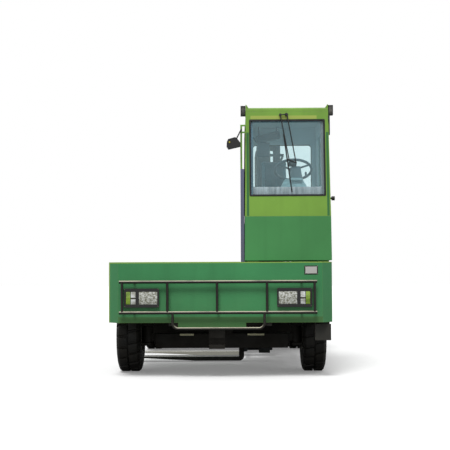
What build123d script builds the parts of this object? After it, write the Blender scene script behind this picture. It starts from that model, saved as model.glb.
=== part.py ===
from build123d import *
import math
import os

os.makedirs("parts", exist_ok=True)

# Side loader forklift, in millimetres. The cab end is -Y, the door side is +X, the load side is -X,
# and the floor is Z = 0.

# Body
body_width = 2400
body_x = -25                     # middle of the body; the door handle evens out the overall box
deck_end = 2578                  # from the middle of the well to each end panel
deck_top = 1243
deck_plate = 20
skirt_bottom = 595
skirt_plate = 12
corner_cut = 110
apron_drop = 55
well_half = 700
deck_rib = 90
apron_x = (body_x - 449, body_x + 275)
load_x = body_x - body_width / 2
cab_x = body_x + body_width / 2
rib_places = (450, 1600)         # from the well to each cross rib
guard_room = 300                 # the body stands this much wider than its guards
track_room = 316                 # and this much wider than the wheels' track

# Wheels
tyre_radius = 420
tyre_width = 270
tyre_section = ((1.0, 90), (0.95, 50), (0.86, 18), (0.72, 0))    # share of the half width, drop from the tread
tyre_lugs = 20                   # on each side of the tread
groove_size = (22, 78, 26)       # round the tread, across it and deep
rim_radius = 190
rim_wall = 14
hub_radius = 78
spindle_radius = 60
wheel_gap = 0.5
seat_gap = 0.3
wheel_y = 1680
wheel_track = body_width - track_room
kingpin_inset = 190
arch_half = 590
arch_top = 900
arch_round = 200

# Frame
rail_offset = 500
rail_width = 100
rail_bottom = 560
rail_height = 200
bulkhead_depth = 80
bulkhead_bottom = 380
bulkhead_top = 800
beam_x = (cab_x - 175, cab_x - 35)
runner_depth = 80                # how far the mast runners stand into the well
runner_height = 180
runner_wall = 16

# Guards of round tube across each end
guard_x = body_x - 23
guard_length = body_width - guard_room
guard_radius = 16
guard_post_radius = 14
guard_stub_radius = 12
guard_standoff = 56
guard_rails = (704, 1030)
guard_posts = (32 - guard_length / 2, -537, -9, 521, guard_length / 2 - 25)
guard_stubs = (158 - guard_length / 2, guard_length / 2 - 164)
step_x = (-482, 493)
step_bottom = 536
step_bend = 60

# Lamps on the end panels
lamp_size = (372, 201)
lamp_offset = body_width / 2 - 386
lamp_z = 861
lamp_depth = 40
lamp_cells = ((71, 198, 139), (-88, 54, 139), (-141, 48, 139))   # inward offset, width, height
lamp_recess = 14
lens_gap = 0.3
work_lamp = (54, 70, 107)
work_drop = 31                   # from the roof line down to the work lamps' middle

# Cab
cab_width = 936
cab_mount = 12
cab_step_down = 3                # the deck's corner under the cab is this much lower
cab_pad = 90
pad_half = 60
cab_front = -(deck_end - 78)
cab_back = -(well_half + 300)
cab_fold = 1730
cab_top = 2925
cab_rake = 6.1
cab_taper = 18
cab_wall = 45
cab_round = 20
room_floor = 1500
floor_plate = 20
screen_sill = 220
screen_head = 125                # from the windscreen up to the roof line
screen_size = (cab_width - 111, cab_top - cab_fold - screen_sill - screen_head)
screen_round = 14
seal_width = 18
seal_proud = 4
seal_depth = 30
glass_thick = 6
window_head = 185                # from the side windows up to the roof line
rear_sill = 1800
rear_window = (cab_width - 216, cab_top - rear_sill - 247)
side_window_y = (cab_front + 260, cab_back - 120)
side_window_z = (1810, cab_top - window_head)
window_round = 40
door_gap = 6
door_window_y = (cab_front + 270, cab_back - 130)
door_window_z = (1860, cab_top - window_head)
hinge_radius = 12
hinge_pin = 5
hinge_length = 45
hinge_gap = 3
hinge_levels = (cab_fold - 310, cab_top - 305)
handle_reach = 50
handle_z = 1932
handle_knob = (23, 34)            # radius and length
ear_height = 34
ear_width = 30
ear_tip = 8
ear_length = 40

# Load guard beside the cab
guard_plate_x = (cab_x - cab_width - 41, cab_x - cab_width - 3)
guard_plate_top = cab_top - 680
guard_frame_top = cab_top - 200
guard_bar = 20
guard_tie_drop = 90
tie_half = 8

# Seat, dash and steering wheel
seat_width = 400
seat_length = 480
seat_thick = 120
seat_base_size = (360, 400, 200)
seat_leg_size = (300, 340)
seat_back = (120, 90)            # thickness at its foot and at its top
seat_top_drop = 435              # from the roof line down to the top of the seat's back
seat_z = room_floor + 450
seat_x = cab_x - cab_width / 2 - 107
seat_y = cab_back - 500
dash_x = cab_x - cab_width / 2 + 84
dash_y = cab_front + 420
dash_top = room_floor + 665
dash_foot = (400, 330)
dash_shoulder = (380, 300)
dash_head = (200, 160)
pod_foot = (150, 110)
pod_head = (96, 64)
pod_height = 136
pod_shift = (24, -90)            # from the column's middle
pod_round = 24
dash_round = (90, 60)
dash_slope = 170
dash_step = 20
wheel_rim_radius = 205
wheel_rim_tube = 15
wheel_tilt = 28
hub_depth = 24
knob_across = 150
steering_z = dash_top + 110

# Mast. Lengths along X are measured from the load side face of the channels.
mast_x = cab_x - 755
channel_depth = 140
channel_flange = 22
channel_web = 20
outer_half = 520                 # outer faces of the outer channels, from the middle of the well
outer_lip = 430
inner_lips = (330, 424)
mast_bottom = 110
mast_top = 2850
mast_roller = 44
tie_back = 190                   # how far the ties stand behind the channels
tie_bands = ((mast_bottom + 140, mast_bottom + 290), (1300, 1420), (mast_top - 900, mast_top - 780),
             (mast_top - 256, mast_top - 224))
cylinder_y = 400
cylinder_back = 116
barrel_radius = 52
barrel_top = mast_top - 850
rod_radius = 34
rod_gap = 1.0
pivot_x = mast_x + channel_depth / 2
pivot_z = 470
pivot_radius = 30
pivot_gap = 0.5
chain_y = 200
chain_width = 30
chain_thick = 20
chain_pitch = 38
link_notch = 8
sheave_radius = 80
sheave_z = mast_top - 195

# Reach carriage
reach_x = (mast_x + 20, mast_x + 510)
reach_beam_y = (outer_half + 20, outer_half + 90)
reach_beam_z = (bulkhead_bottom + 20, bulkhead_bottom + 160)
reach_roller = 69
reach_roller_x = (mast_x + 220, mast_x + 450)
tilt_y = sum(reach_beam_y) / 2
tilt_low = (mast_x + 470, 640)   # X and Z of the tilt cylinders' lower pins
tilt_high = (mast_x + 370, 1350)
tilt_barrel = 42
tilt_rod = 24
tilt_pin = 18
tilt_gap = 3

# Fork carriage and forks
carriage_face = mast_x - 186
bar_depth = 40
carriage_half = outer_half + 20
bar_bands = ((130, 240), (590, 700))
plate_y = (292, 325)
roller_heights = (240, 600)
fork_y = 425
fork_width = 150
shank_thick = 65
blade_thick = 50
fork_tip_thick = 12
fork_length = 1300
fork_taper = 750
fork_bottom = 12
fork_top = 720
heel_round = 60

# Engine cover
hood_y = (well_half + 60, deck_end - 98)
hood_top = 1800
hood_nose = 260                  # slope at the rear end
hood_wall = 12
bay_margin = 60
engine_size = (480, 900, 760)
engine_middle = (cab_x - 575, 1500)


def keep(builder, name):
    """Label one finished piece and write its STEP file."""
    builder.part.label = name
    export_step(builder.part, f"parts/{name}.step")


def block(x, y, z, mode=Mode.ADD):
    """Add or cut the box between two limits along each axis."""
    with Locations(tuple((low + high) / 2 for low, high in (x, y, z))):
        Box(x[1] - x[0], y[1] - y[0], z[1] - z[0], mode=mode)


def prism(plane, points, amount, mode=Mode.ADD):
    """Extrude a straight-sided outline drawn on a plane."""
    with BuildSketch(plane) as outline:
        with BuildLine():
            Polyline(*points, close=True)
        make_face()
    extrude(outline.sketch, amount=amount, mode=mode)


def bar(start, end, radius, mode=Mode.ADD):
    """Add or cut a round bar between two points."""
    run = Vector(*end) - Vector(*start)
    with BuildSketch(Plane(origin=start, z_dir=run)) as section:
        Circle(radius)
    extrude(section.sketch, amount=run.length, mode=mode)


def pane(plane, middle, size, depth, mode=Mode.ADD, corner=window_round):
    """Add or cut a plate with rounded corners that starts on a plane."""
    with BuildSketch(plane) as outline:
        with Locations(middle):
            RectangleRounded(*size, corner)
    extrude(outline.sketch, amount=depth, mode=mode)


# Decks: a hollow body with a top plate, skirts and an end panel, open below

def deck_plan(end, near, inset):
    """Plan of one deck, with its two outer corners cut off; end is -1 in front and 1 behind."""
    cut = corner_cut - inset * (2 - math.sqrt(2))
    far = deck_end - inset
    left = load_x + inset
    right = cab_x - inset
    corners = ((left, near), (left, far - cut), (left + cut, far), (right - cut, far), (right, far - cut), (right, near))
    return [(x, end * y) for x, y in corners]


def deck(end):
    """One deck with its wheel arches and cross ribs."""
    low = Plane.XY.offset(skirt_bottom)
    prism(low, deck_plan(end, well_half, 0), deck_top - skirt_bottom)
    room = deck_top - deck_plate - skirt_bottom
    prism(low, deck_plan(end, well_half + skirt_plate, skirt_plate), room, Mode.SUBTRACT)
    wall = sorted((end * (well_half - 1), end * (well_half + skirt_plate + 1)))
    block((load_x + skirt_plate, cab_x - skirt_plate), wall, (skirt_bottom, bulkhead_top), Mode.SUBTRACT)
    arch_height = 2 * (arch_top - skirt_bottom)
    pane(Plane.YZ.offset(load_x - 1), (end * wheel_y, skirt_bottom), (2 * arch_half, arch_height),
         body_width + 2, Mode.SUBTRACT, arch_round)
    for place in rib_places:
        rib = sorted((end * (well_half + place), end * (well_half + place + skirt_plate)))
        block((load_x + skirt_plate, cab_x - skirt_plate), rib, (deck_top - deck_plate - deck_rib, deck_top - deck_plate))
    apron = sorted((end * (deck_end - skirt_plate), end * deck_end))
    block(apron_x, apron, (skirt_bottom - apron_drop, skirt_bottom))


cab_x0 = cab_x - cab_width
cab_bottom = deck_top + cab_mount
cab_middle = cab_x - cab_width / 2
cab_sill = deck_top - cab_step_down

with BuildPart() as front_deck:
    deck(-1)
    block((guard_plate_x[0] - 8, cab_x + 1), (-deck_end - 1, -well_half + 1), (cab_sill, deck_top + 1), Mode.SUBTRACT)
    for x in (cab_x0 + cab_pad, cab_x - cab_pad):
        for y in (cab_front + cab_pad, cab_back - cab_pad):
            block((x - pad_half, x + pad_half), (y - pad_half, y + pad_half), (cab_sill, cab_bottom))
keep(front_deck, "front_deck")

hood_x0 = cab_x0 + 6
hood_barrel = 10
hood_hinge_x = hood_x0 - 12
hood_hinge_z = deck_top + 14
hood_hinges = (1000, 2150)
with BuildPart() as rear_deck:
    deck(1)
    for y in hood_hinges:
        block((hood_hinge_x - 8, hood_hinge_x + 8), (y, y + hinge_length), (deck_top - 5, hood_hinge_z))
        bar((hood_hinge_x, y, hood_hinge_z), (hood_hinge_x, y + hinge_length, hood_hinge_z), hood_barrel)
        bar((hood_hinge_x, y, hood_hinge_z), (hood_hinge_x, y + 2 * hinge_length, hood_hinge_z), hinge_pin)
    bay_x = (cab_x0 + bay_margin, cab_x - bay_margin)
    bay_y = (hood_y[0] + bay_margin, hood_y[1] - bay_margin)
    block(bay_x, bay_y, (deck_top - deck_plate - deck_rib, deck_top + 1), Mode.SUBTRACT)
keep(rear_deck, "rear_deck")

# Frame rails under each deck, with the axle saddle and a jaw for a tow pin

tow_x = (body_x - 125, body_x + 45)
tow_y = (deck_end - 198, deck_end - 98)
tow_z = (310, 470)
tow_jaw = 70
tow_pin = 18
saddle_half = 100
axle_tube = 75
rail_top = rail_bottom + rail_height
axle_top = 430


def frame(end):
    """Two rails from the well bulkhead to the end panel, their cross members and the tow jaw."""
    near = well_half + bulkhead_depth
    far = deck_end - skirt_plate
    for side in (-1, 1):
        x = body_x + side * rail_offset
        block((x - rail_width / 2, x + rail_width / 2), sorted((end * near, end * far)), (rail_bottom, rail_top))
    across = (body_x - rail_offset, body_x + rail_offset)
    block(across, sorted((end * tow_y[0], end * tow_y[1])), (rail_bottom, rail_top))
    block(tow_x, sorted((end * tow_y[0], end * tow_y[1])), (tow_z[0], rail_bottom))
    mouth = sorted((end * (tow_y[0] + 30), end * (tow_y[1] + 1)))
    middle = (tow_z[0] + tow_z[1]) / 2
    block((tow_x[0] - 1, tow_x[1] + 1), mouth, (middle - tow_jaw / 2, middle + tow_jaw / 2), Mode.SUBTRACT)
    pin_y = end * (tow_y[1] - 35)
    pin_x = (tow_x[0] + tow_x[1]) / 2
    bar((pin_x, pin_y, tow_z[0] - 1), (pin_x, pin_y, tow_z[1]), tow_pin, Mode.SUBTRACT)


with BuildPart() as frames:
    frame(-1)
    saddle_y = (-wheel_y - saddle_half, -wheel_y + saddle_half)
    block((body_x - rail_offset, body_x + rail_offset), saddle_y, (rail_bottom, rail_top - 60))
    block((body_x - 120, body_x + 120), saddle_y, (axle_top, rail_bottom))
    frame(1)
    block((body_x - rail_offset, body_x + rail_offset), (wheel_y - 60, wheel_y + 60), (rail_top - 60, rail_top))
    for side in (-1, 1):
        x = body_x + side * rail_offset
        block((x - rail_width / 2, x + rail_width / 2), (wheel_y - 90, wheel_y + 90), (tyre_radius + axle_tube, rail_bottom))
keep(frames, "frames")

# Well: a bulkhead at each end of it, with the channel that the mast's rollers run in

bulkhead_x = (load_x + skirt_plate + 8, beam_x[0])
with BuildPart() as well_rails:
    for end in (-1, 1):
        wall = sorted((end * well_half, end * (well_half + bulkhead_depth)))
        block(bulkhead_x, wall, (bulkhead_bottom, bulkhead_top))
        near = end * well_half
        lip = end * (well_half - runner_depth)
        web = end * (well_half - runner_wall)
        low = bulkhead_bottom
        high = low + runner_height
        channel = ((near, low), (lip, low), (lip, low + runner_wall), (web, low + runner_wall),
                   (web, high - runner_wall), (lip, high - runner_wall), (lip, high), (near, high))
        prism(Plane.YZ.offset(bulkhead_x[0]), channel, bulkhead_x[1] - bulkhead_x[0])
keep(well_rails, "well_rails")

with BuildPart() as side_beam:
    block(beam_x, (-well_half - bulkhead_depth, well_half + bulkhead_depth), (bulkhead_bottom, bulkhead_top))
    shelf = (deck_top - 40, deck_top)
    block((beam_x[0], cab_x), (-well_half, well_half), shelf)
    for y in (-well_half + 20, 0, well_half - 20):
        block(beam_x, (y - 20, y + 20), (bulkhead_top, shelf[0]))
keep(side_beam, "side_beam")

# Guards: tube rails and posts on short stubs, with a step loop under the lower rail

with BuildPart() as guards:
    face = -deck_end - guard_standoff
    for z in guard_rails:
        bar((guard_x - guard_length / 2, face, z), (guard_x + guard_length / 2, face, z), guard_radius)
        for x in guard_stubs:
            bar((guard_x + x, -deck_end, z), (guard_x + x, face, z), guard_stub_radius)
    for x in guard_posts:
        bar((guard_x + x, face, guard_rails[0]), (guard_x + x, face, guard_rails[1]), guard_post_radius)
    with BuildLine() as loop:
        FilletPolyline((guard_x + step_x[0], face, guard_rails[0]), (guard_x + step_x[0], face, step_bottom),
                       (guard_x + step_x[1], face, step_bottom), (guard_x + step_x[1], face, guard_rails[0]),
                       radius=step_bend)
    with BuildSketch(Plane(origin=(guard_x + step_x[0], face, guard_rails[0]), z_dir=(0, 0, -1))):
        Circle(guard_post_radius)
    sweep(path=loop.line)
    mirror(about=Plane.XZ)
keep(guards, "guards")

# Cab: one hollow form with raked front and leaning sides, split into its panels

lean = math.tan(math.radians(cab_rake))
skew = math.cos(math.radians(cab_rake))
roof_under = cab_top - cab_wall


def rake_y(z, inset=0):
    """Y of the raked front at a height."""
    return cab_front + inset / skew + (z - cab_fold) * lean


def cab_profile(inset):
    """Side outline of the cab, inset from its outer faces."""
    sill = cab_bottom + inset
    knee = cab_fold - inset * math.tan(math.radians(cab_rake) / 2)
    roof = cab_top - inset
    back = cab_back - inset
    return [(cab_front + inset, sill), (cab_front + inset, knee), (rake_y(roof, inset), roof), (back, roof), (back, sill)]


def cab_side(side, z, inset=0):
    """X of a cab side wall at a height: side is -1 at the load and 1 at the door."""
    taper = cab_taper * (z - cab_bottom) / (cab_top - cab_bottom)
    return cab_middle + side * (cab_width / 2 - taper - inset)


def cab_section(inset):
    """Front outline of the cab, inset from its leaning sides."""
    return [(cab_side(side, z, inset), z) for side, z in ((-1, cab_bottom), (1, cab_bottom), (1, cab_top), (-1, cab_top))]


def cab_slab(side, near, far):
    """Front outline of a layer of one side wall, between two depths from its outer face."""
    return [(cab_side(side, z, inset), z)
            for z, inset in ((cab_bottom, near), (cab_top, near), (cab_top, far), (cab_bottom, far))]


cross = Plane.XZ.offset(-cab_back)
cab_length = cab_back - cab_front


def side_glass(side, middle, size):
    """A pane in the middle of one side wall."""
    sheet = (size[0] - 2 * lens_gap, size[1] - 2 * lens_gap)
    prism(cross, cab_slab(side, cab_wall / 2, cab_wall / 2 + glass_thick), cab_length)
    pane(Plane.YZ.offset(cab_x0), middle, sheet, cab_width, Mode.INTERSECT)

with BuildPart() as cab_body:
    prism(Plane.YZ.offset(cab_x0), cab_profile(0), cab_width)
    prism(cross, cab_section(0), cab_length, Mode.INTERSECT)

with BuildPart() as cab_room:
    prism(Plane.YZ.offset(cab_x0), cab_profile(cab_wall), cab_width)
    prism(cross, cab_section(cab_wall), cab_length, Mode.INTERSECT)

with BuildPart() as doorway:
    prism(cross, cab_slab(1, 0, cab_wall), cab_length)
    prism(Plane.YZ.offset(cab_x0), cab_profile(cab_wall), cab_width, Mode.INTERSECT)

wide = (cab_x0 - 1, cab_x + 1)
long = (cab_front - 1, cab_back + 1)
door_edge = cab_wall + door_gap
hinge_x = cab_x + hinge_radius + 4
hinge_y = cab_back - door_edge + 3


def hinge_post(z):
    """Fixed half of a door hinge: a leaf on the back post, a knuckle and the pin."""
    wall = cab_side(1, z + hinge_length)
    block((wall - 6, hinge_x), (hinge_y + hinge_radius + 1, hinge_y + hinge_radius + 25), (z, z + hinge_length))
    block((hinge_x - 4, hinge_x + 4), (hinge_y, hinge_y + hinge_radius + 5), (z, z + hinge_length))
    bar((hinge_x, hinge_y, z), (hinge_x, hinge_y, z + hinge_length), hinge_radius)
    bar((hinge_x, hinge_y, z), (hinge_x, hinge_y, z + 2 * hinge_length), hinge_pin)


def hinge_leaf(z):
    """Moving half of a door hinge, on top of the fixed one."""
    low = z + hinge_length + hinge_gap
    block((cab_side(1, low) - 6, hinge_x), (hinge_y - 45, hinge_y - 6), (low, low + hinge_length))
    bar((hinge_x, hinge_y, low), (hinge_x, hinge_y, low + hinge_length), hinge_radius)
    bar((hinge_x, hinge_y, low - 1), (hinge_x, hinge_y, low + hinge_length + 1), hinge_pin + pivot_gap, Mode.SUBTRACT)


with BuildPart() as cab_base:
    add(cab_body.part)
    add(cab_room.part, mode=Mode.SUBTRACT)
    add(doorway.part, mode=Mode.SUBTRACT)
    block(wide, long, (cab_fold, cab_top + 1), Mode.SUBTRACT)
    floor_x = (cab_x0 + cab_wall, cab_side(1, room_floor, cab_wall + door_gap))
    block(floor_x, (cab_front + cab_wall, cab_back - cab_wall), (room_floor - floor_plate, room_floor))
    hinge_post(hinge_levels[0])
keep(cab_base, "cab_base")

front_face = Plane(origin=(cab_middle, cab_front, cab_fold), x_dir=(1, 0, 0),
                   z_dir=(0, -skew, math.sin(math.radians(cab_rake))))
screen_middle = (0, screen_sill + screen_size[1] / 2)

with BuildPart() as cab_front_panel:
    add(cab_body.part)
    block(wide, long, (cab_bottom - 1, cab_fold), Mode.SUBTRACT)
    block(wide, long, (roof_under, cab_top + 1), Mode.SUBTRACT)
    behind = [(rake_y(cab_fold - 1, cab_wall), cab_fold - 1), (rake_y(roof_under + 1, cab_wall), roof_under + 1),
              (cab_back + 1, roof_under + 1), (cab_back + 1, cab_fold - 1)]
    prism(Plane.YZ.offset(wide[0]), behind, cab_width + 2, Mode.SUBTRACT)
    pane(front_face.offset(10), screen_middle, screen_size, -cab_wall - 20, Mode.SUBTRACT, screen_round)
keep(cab_front_panel, "cab_front_panel")

rear_middle = (cab_middle, rear_sill + rear_window[1] / 2)
with BuildPart() as cab_back_panel:
    add(cab_body.part)
    block(wide, (cab_front - 1, cab_back - cab_wall), (cab_bottom - 1, cab_top + 1), Mode.SUBTRACT)
    block(wide, long, (cab_bottom - 1, cab_fold), Mode.SUBTRACT)
    block(wide, long, (roof_under, cab_top + 1), Mode.SUBTRACT)
    pane(Plane.XZ.offset(-cab_back - 1), rear_middle, rear_window, cab_wall + 2, Mode.SUBTRACT)
    hinge_post(hinge_levels[1])
keep(cab_back_panel, "cab_back_panel")

side_middle = (sum(side_window_y) / 2, sum(side_window_z) / 2)
side_size = (side_window_y[1] - side_window_y[0], side_window_z[1] - side_window_z[0])
with BuildPart() as cab_side_panel:
    prism(cross, cab_slab(-1, 0, cab_wall), cab_length)
    between = [(rake_y(cab_fold, cab_wall), cab_fold), (rake_y(roof_under, cab_wall), roof_under),
               (cab_back - cab_wall, roof_under), (cab_back - cab_wall, cab_fold)]
    prism(Plane.YZ.offset(cab_x0), between, cab_width, Mode.INTERSECT)
    pane(Plane.YZ.offset(cab_x0 - 1), side_middle, side_size, cab_wall + cab_taper + 20, Mode.SUBTRACT)
keep(cab_side_panel, "cab_side_panel")

with BuildPart() as cab_roof:
    add(cab_body.part)
    block(wide, long, (cab_bottom - 1, roof_under), Mode.SUBTRACT)
    fillet(cab_roof.faces().sort_by(Axis.Z)[-1].edges(), cab_round)
    ear_back = rake_y(roof_under) + 5 + ear_length
    for side in (-1, 1):
        foot, tip, corner = (cab_side(side, cab_top, inset) for inset in (ear_width, ear_tip, 0))
        ear = ((corner, roof_under), (corner, cab_top + ear_height), (tip, cab_top + ear_height), (foot, cab_top),
               (foot, roof_under))
        prism(Plane.XZ.offset(-ear_back), ear, ear_length)
keep(cab_roof, "cab_roof")

# Lamps: a rimmed box with three cells beside the guard's posts at each end, and work lamps at the roof corners

def end_plane(end, x, z):
    """Plane on an end panel, facing out, with its own X towards the vehicle's side away from the middle."""
    return Plane(origin=(x, end * deck_end, z), x_dir=(1, 0, 0) if end < 0 else (-1, 0, 0), z_dir=(0, end, 0))


with BuildPart() as lamp_housings:
    for end in (-1, 1):
        for side in (-1, 1):
            plane = end_plane(end, guard_x + side * lamp_offset, lamp_z)
            pane(plane, (0, 0), lamp_size, lamp_depth, corner=14)
            for inward, width, height in lamp_cells:
                pane(plane.offset(lamp_depth - lamp_recess), (side * end * inward, 0), (width, height),
                     lamp_recess + 1, Mode.SUBTRACT, 6)
    for side, z in ((-1, cab_top - work_drop), (1, cab_top - work_drop + 4)):
        near = cab_side(side, z - work_lamp[2] / 2, -0.1)
        y = rake_y(z) + 10
        block(sorted((near, near + side * work_lamp[0])), (y, y + work_lamp[1]), (z - work_lamp[2] / 2, z + work_lamp[2] / 2))
keep(lamp_housings, "lamp_housings")

with BuildPart() as lamp_lenses:
    for end in (-1, 1):
        for side in (-1, 1):
            plane = end_plane(end, guard_x + side * lamp_offset, lamp_z)
            for inward, width, height in lamp_cells:
                size = (width - 2 * lens_gap, height - 2 * lens_gap)
                pane(plane.offset(lamp_depth - lamp_recess), (side * end * inward, 0), size, lamp_recess - 2, corner=6)
keep(lamp_lenses, "lamp_lenses")

# Window seal and the fixed glass

inner = (screen_size[0] - 2 * seal_width, screen_size[1] - 2 * seal_width)
seal_corner = screen_round / 2
with BuildPart() as windscreen_seal:
    pane(front_face.offset(seal_proud), screen_middle, screen_size, -seal_depth - seal_proud, corner=screen_round)
    pane(front_face.offset(10), screen_middle, inner, -seal_depth - 30, Mode.SUBTRACT, seal_corner)
keep(windscreen_seal, "windscreen_seal")

with BuildPart() as load_glass:
    side_glass(-1, side_middle, side_size)

with BuildPart() as cab_glass:
    sheet = (inner[0] - 2 * lens_gap, inner[1] - 2 * lens_gap)
    pane(front_face.offset(-10), screen_middle, sheet, -glass_thick, corner=seal_corner)
    sheet = (rear_window[0] - 2 * lens_gap, rear_window[1] - 2 * lens_gap)
    pane(Plane.XZ.offset(-cab_back + cab_wall / 2), rear_middle, sheet, glass_thick)
    add(load_glass.part)
keep(cab_glass, "cab_glass")

# Door: the whole side wall between the front and back panels, hung at its rear edge

door_middle = (sum(door_window_y) / 2, sum(door_window_z) / 2)
door_size = (door_window_y[1] - door_window_y[0], door_window_z[1] - door_window_z[0])
with BuildPart() as cab_door:
    prism(cross, cab_slab(1, 0, cab_wall), cab_length)
    prism(Plane.YZ.offset(cab_x0), cab_profile(door_edge), cab_width, Mode.INTERSECT)
    pane(Plane.YZ.offset(cab_x + 1), door_middle, door_size, -cab_wall - cab_taper - 20, Mode.SUBTRACT)
    for level in hinge_levels:
        hinge_leaf(level)
    knob = (cab_front + 170, handle_z)
    bar((cab_side(1, handle_z) - 5, *knob), (cab_x + handle_reach - handle_knob[1] + 2, *knob), 11)
    bar((cab_x + handle_reach - handle_knob[1], *knob), (cab_x + handle_reach, *knob), handle_knob[0])
keep(cab_door, "cab_door")

with BuildPart() as door_glass:
    side_glass(1, door_middle, door_size)
keep(door_glass, "door_glass")

# Load guard: a plate beside the cab with an open bar frame above it, tied to the roof corner

with BuildPart() as load_guard:
    guard_y = (cab_front + 20, cab_back - 20)
    bar_x = (guard_plate_x[0], guard_plate_x[0] + guard_bar)
    block(guard_plate_x, guard_y, (cab_sill, guard_plate_top))
    block(bar_x, guard_y, (guard_plate_top, guard_frame_top))
    window = (guard_y[0] + guard_bar, guard_y[1] - guard_bar)
    block((bar_x[0] - 1, bar_x[1] + 1), window, (guard_plate_top, guard_frame_top - guard_bar), Mode.SUBTRACT)
    middle = sum(guard_y) / 2
    block(bar_x, (middle - guard_bar / 2, middle + guard_bar / 2), (guard_plate_top, guard_frame_top))
    tie_y = (guard_y[0] + guard_bar / 2 - tie_half, guard_y[0] + guard_bar / 2 + tie_half)
    for z in (guard_frame_top - guard_tie_drop, guard_frame_top - 2 * tie_half):
        block((bar_x[0], cab_side(-1, z) - lens_gap), tie_y, (z, z + 2 * tie_half))
keep(load_guard, "load_guard")

# Mirror on its arm

mirror_z = cab_top - 413
mirror_x = guard_plate_x[0] - 73
mirror_y = cab_front - 40
mirror_outline = ((-72, 14), (-58, 45), (18, 66), (38, 52), (74, 4), (74, -36), (-56, -66), (-75, -36))
mirror_depth = 46
arm_radius = 7
arm_x = bar_x[0] + guard_bar / 2
arm_z = guard_frame_top - 60
arm_y = mirror_y - 4
with BuildPart() as mirror_arm:
    with BuildSketch(Plane(origin=(mirror_x, mirror_y, mirror_z), x_dir=(1, 0, 0), z_dir=(0, -1, 0))):
        with BuildLine():
            Polyline(*mirror_outline, close=True)
        make_face()
    extrude(amount=mirror_depth)
    bar((mirror_x + 30, arm_y, mirror_z + 50), (arm_x, arm_y, arm_z), arm_radius)
    bar((arm_x, arm_y - arm_radius + 1, arm_z), (arm_x, guard_y[0], arm_z), arm_radius)
keep(mirror_arm, "mirror_arm")

# Wiper: two arms side by side from the brow, a link across them and the blade

wiper_lift = 26
wiper_up = (roof_under - cab_fold) / skew - 40
wiper_arms = ((-73, 18, 504), (0, 92, 534))      # across at the pivot, across at the end, and length up the rake
wiper_blade = (-39, wiper_up - 213, 45, wiper_up - 856)


def on_screen(across, up, lift=wiper_lift):
    """A point above the raked front, from the cab's middle and the fold."""
    return tuple(front_face.from_local_coords(Vector(across, up, lift)))


with BuildPart() as wiper:
    for across, end_across, length in wiper_arms:
        bar(on_screen(across, wiper_up), on_screen(end_across, wiper_up - length), 6)
        bar(on_screen(across, wiper_up, 0.3), on_screen(across, wiper_up, wiper_lift + 8), 13)
    bar(on_screen(-5, wiper_up - 495), on_screen(100, wiper_up - 537), 8)
    bar(on_screen(*wiper_blade[:2], 12), on_screen(*wiper_blade[2:], 12), 7)
    bar(on_screen(-2, wiper_up - 497), on_screen(-2, wiper_up - 497, 12), 7)
keep(wiper, "wiper")

# Seat on its base, dash column and steering wheel

with BuildPart() as seat_base:
    low, wide_leg = seat_base_size, seat_leg_size
    block((seat_x - low[0] / 2, seat_x + low[0] / 2), (seat_y - low[1] / 2, seat_y + low[1] / 2), (room_floor, room_floor + low[2]))
    block((seat_x - wide_leg[0] / 2, seat_x + wide_leg[0] / 2), (seat_y - wide_leg[1] / 2, seat_y + wide_leg[1] / 2),
          (room_floor + low[2], seat_z - seat_thick))
keep(seat_base, "seat_base")

with BuildPart() as seat:
    half = seat_width / 2
    foot_y = seat_y + seat_length / 2 - seat_back[1]
    head_z = cab_top - seat_top_drop
    block((seat_x - half, seat_x + half), (seat_y - seat_length / 2, seat_y + seat_length / 2), (seat_z - seat_thick, seat_z))
    fillet(seat.edges().group_by(Axis.Z)[-1], seat_thick / 3)
    back_profile = ((foot_y, seat_z - seat_thick / 2), (foot_y + seat_back[0], seat_z - seat_thick / 2),
                    (foot_y + 2 * seat_back[1], head_z), (foot_y + seat_back[1], head_z))
    prism(Plane.YZ.offset(seat_x - half + 10), back_profile, seat_width - 20)
keep(seat, "seat")

lift = math.radians(wheel_tilt)
wheel_plane = Plane(origin=(dash_x, dash_y + 60, steering_z), x_dir=(1, 0, 0), z_dir=(0, math.sin(lift), math.cos(lift)))


def on_wheel(across, along, height):
    """A point from the middle of the steering wheel; height is along its column."""
    return tuple(wheel_plane.from_local_coords(Vector(across, along, height)))


with BuildPart() as dash:
    shoulder = dash_top - dash_slope
    for low, high in (((room_floor, dash_foot, 0), (shoulder, dash_shoulder, -dash_step)),
                      ((shoulder, dash_shoulder, -dash_step), (dash_top, dash_head, dash_step))):
        for z, size, shift in (low, high):
            with BuildSketch(Plane.XY.offset(z)):
                with Locations((dash_x, dash_y + shift)):
                    RectangleRounded(*size, dash_round[1] if size == dash_head else dash_round[0])
        loft()
    bar(on_wheel(0, 0, -dash_slope), on_wheel(0, 0, -hub_depth), 38)
    for z, size in ((dash_top - 20, pod_foot), (dash_top + pod_height, pod_head)):
        with BuildSketch(Plane.XY.offset(z)):
            with Locations((dash_x + pod_shift[0], dash_y + dash_step + pod_shift[1])):
                RectangleRounded(*size, pod_round)
    loft()
keep(dash, "dash")

with BuildPart() as steering_wheel:
    with Locations(wheel_plane):
        Torus(wheel_rim_radius, wheel_rim_tube)
    with BuildSketch(wheel_plane.offset(-5)) as spokes:
        with PolarLocations(0, 3, start_angle=90):
            with Locations((wheel_rim_radius / 2, 0)):
                Rectangle(wheel_rim_radius, 22)
        Circle(45)
    extrude(spokes.sketch, amount=10)
    bar(on_wheel(0, 0, -hub_depth), on_wheel(0, 0, 18), 40)
    knob_along = math.sqrt(wheel_rim_radius ** 2 - knob_across ** 2)
    bar(on_wheel(knob_across, knob_along, 5), on_wheel(knob_across, knob_along, 58), 12)
keep(steering_wheel, "steering_wheel")

# Step ahead of the front wheel on the door side

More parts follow.
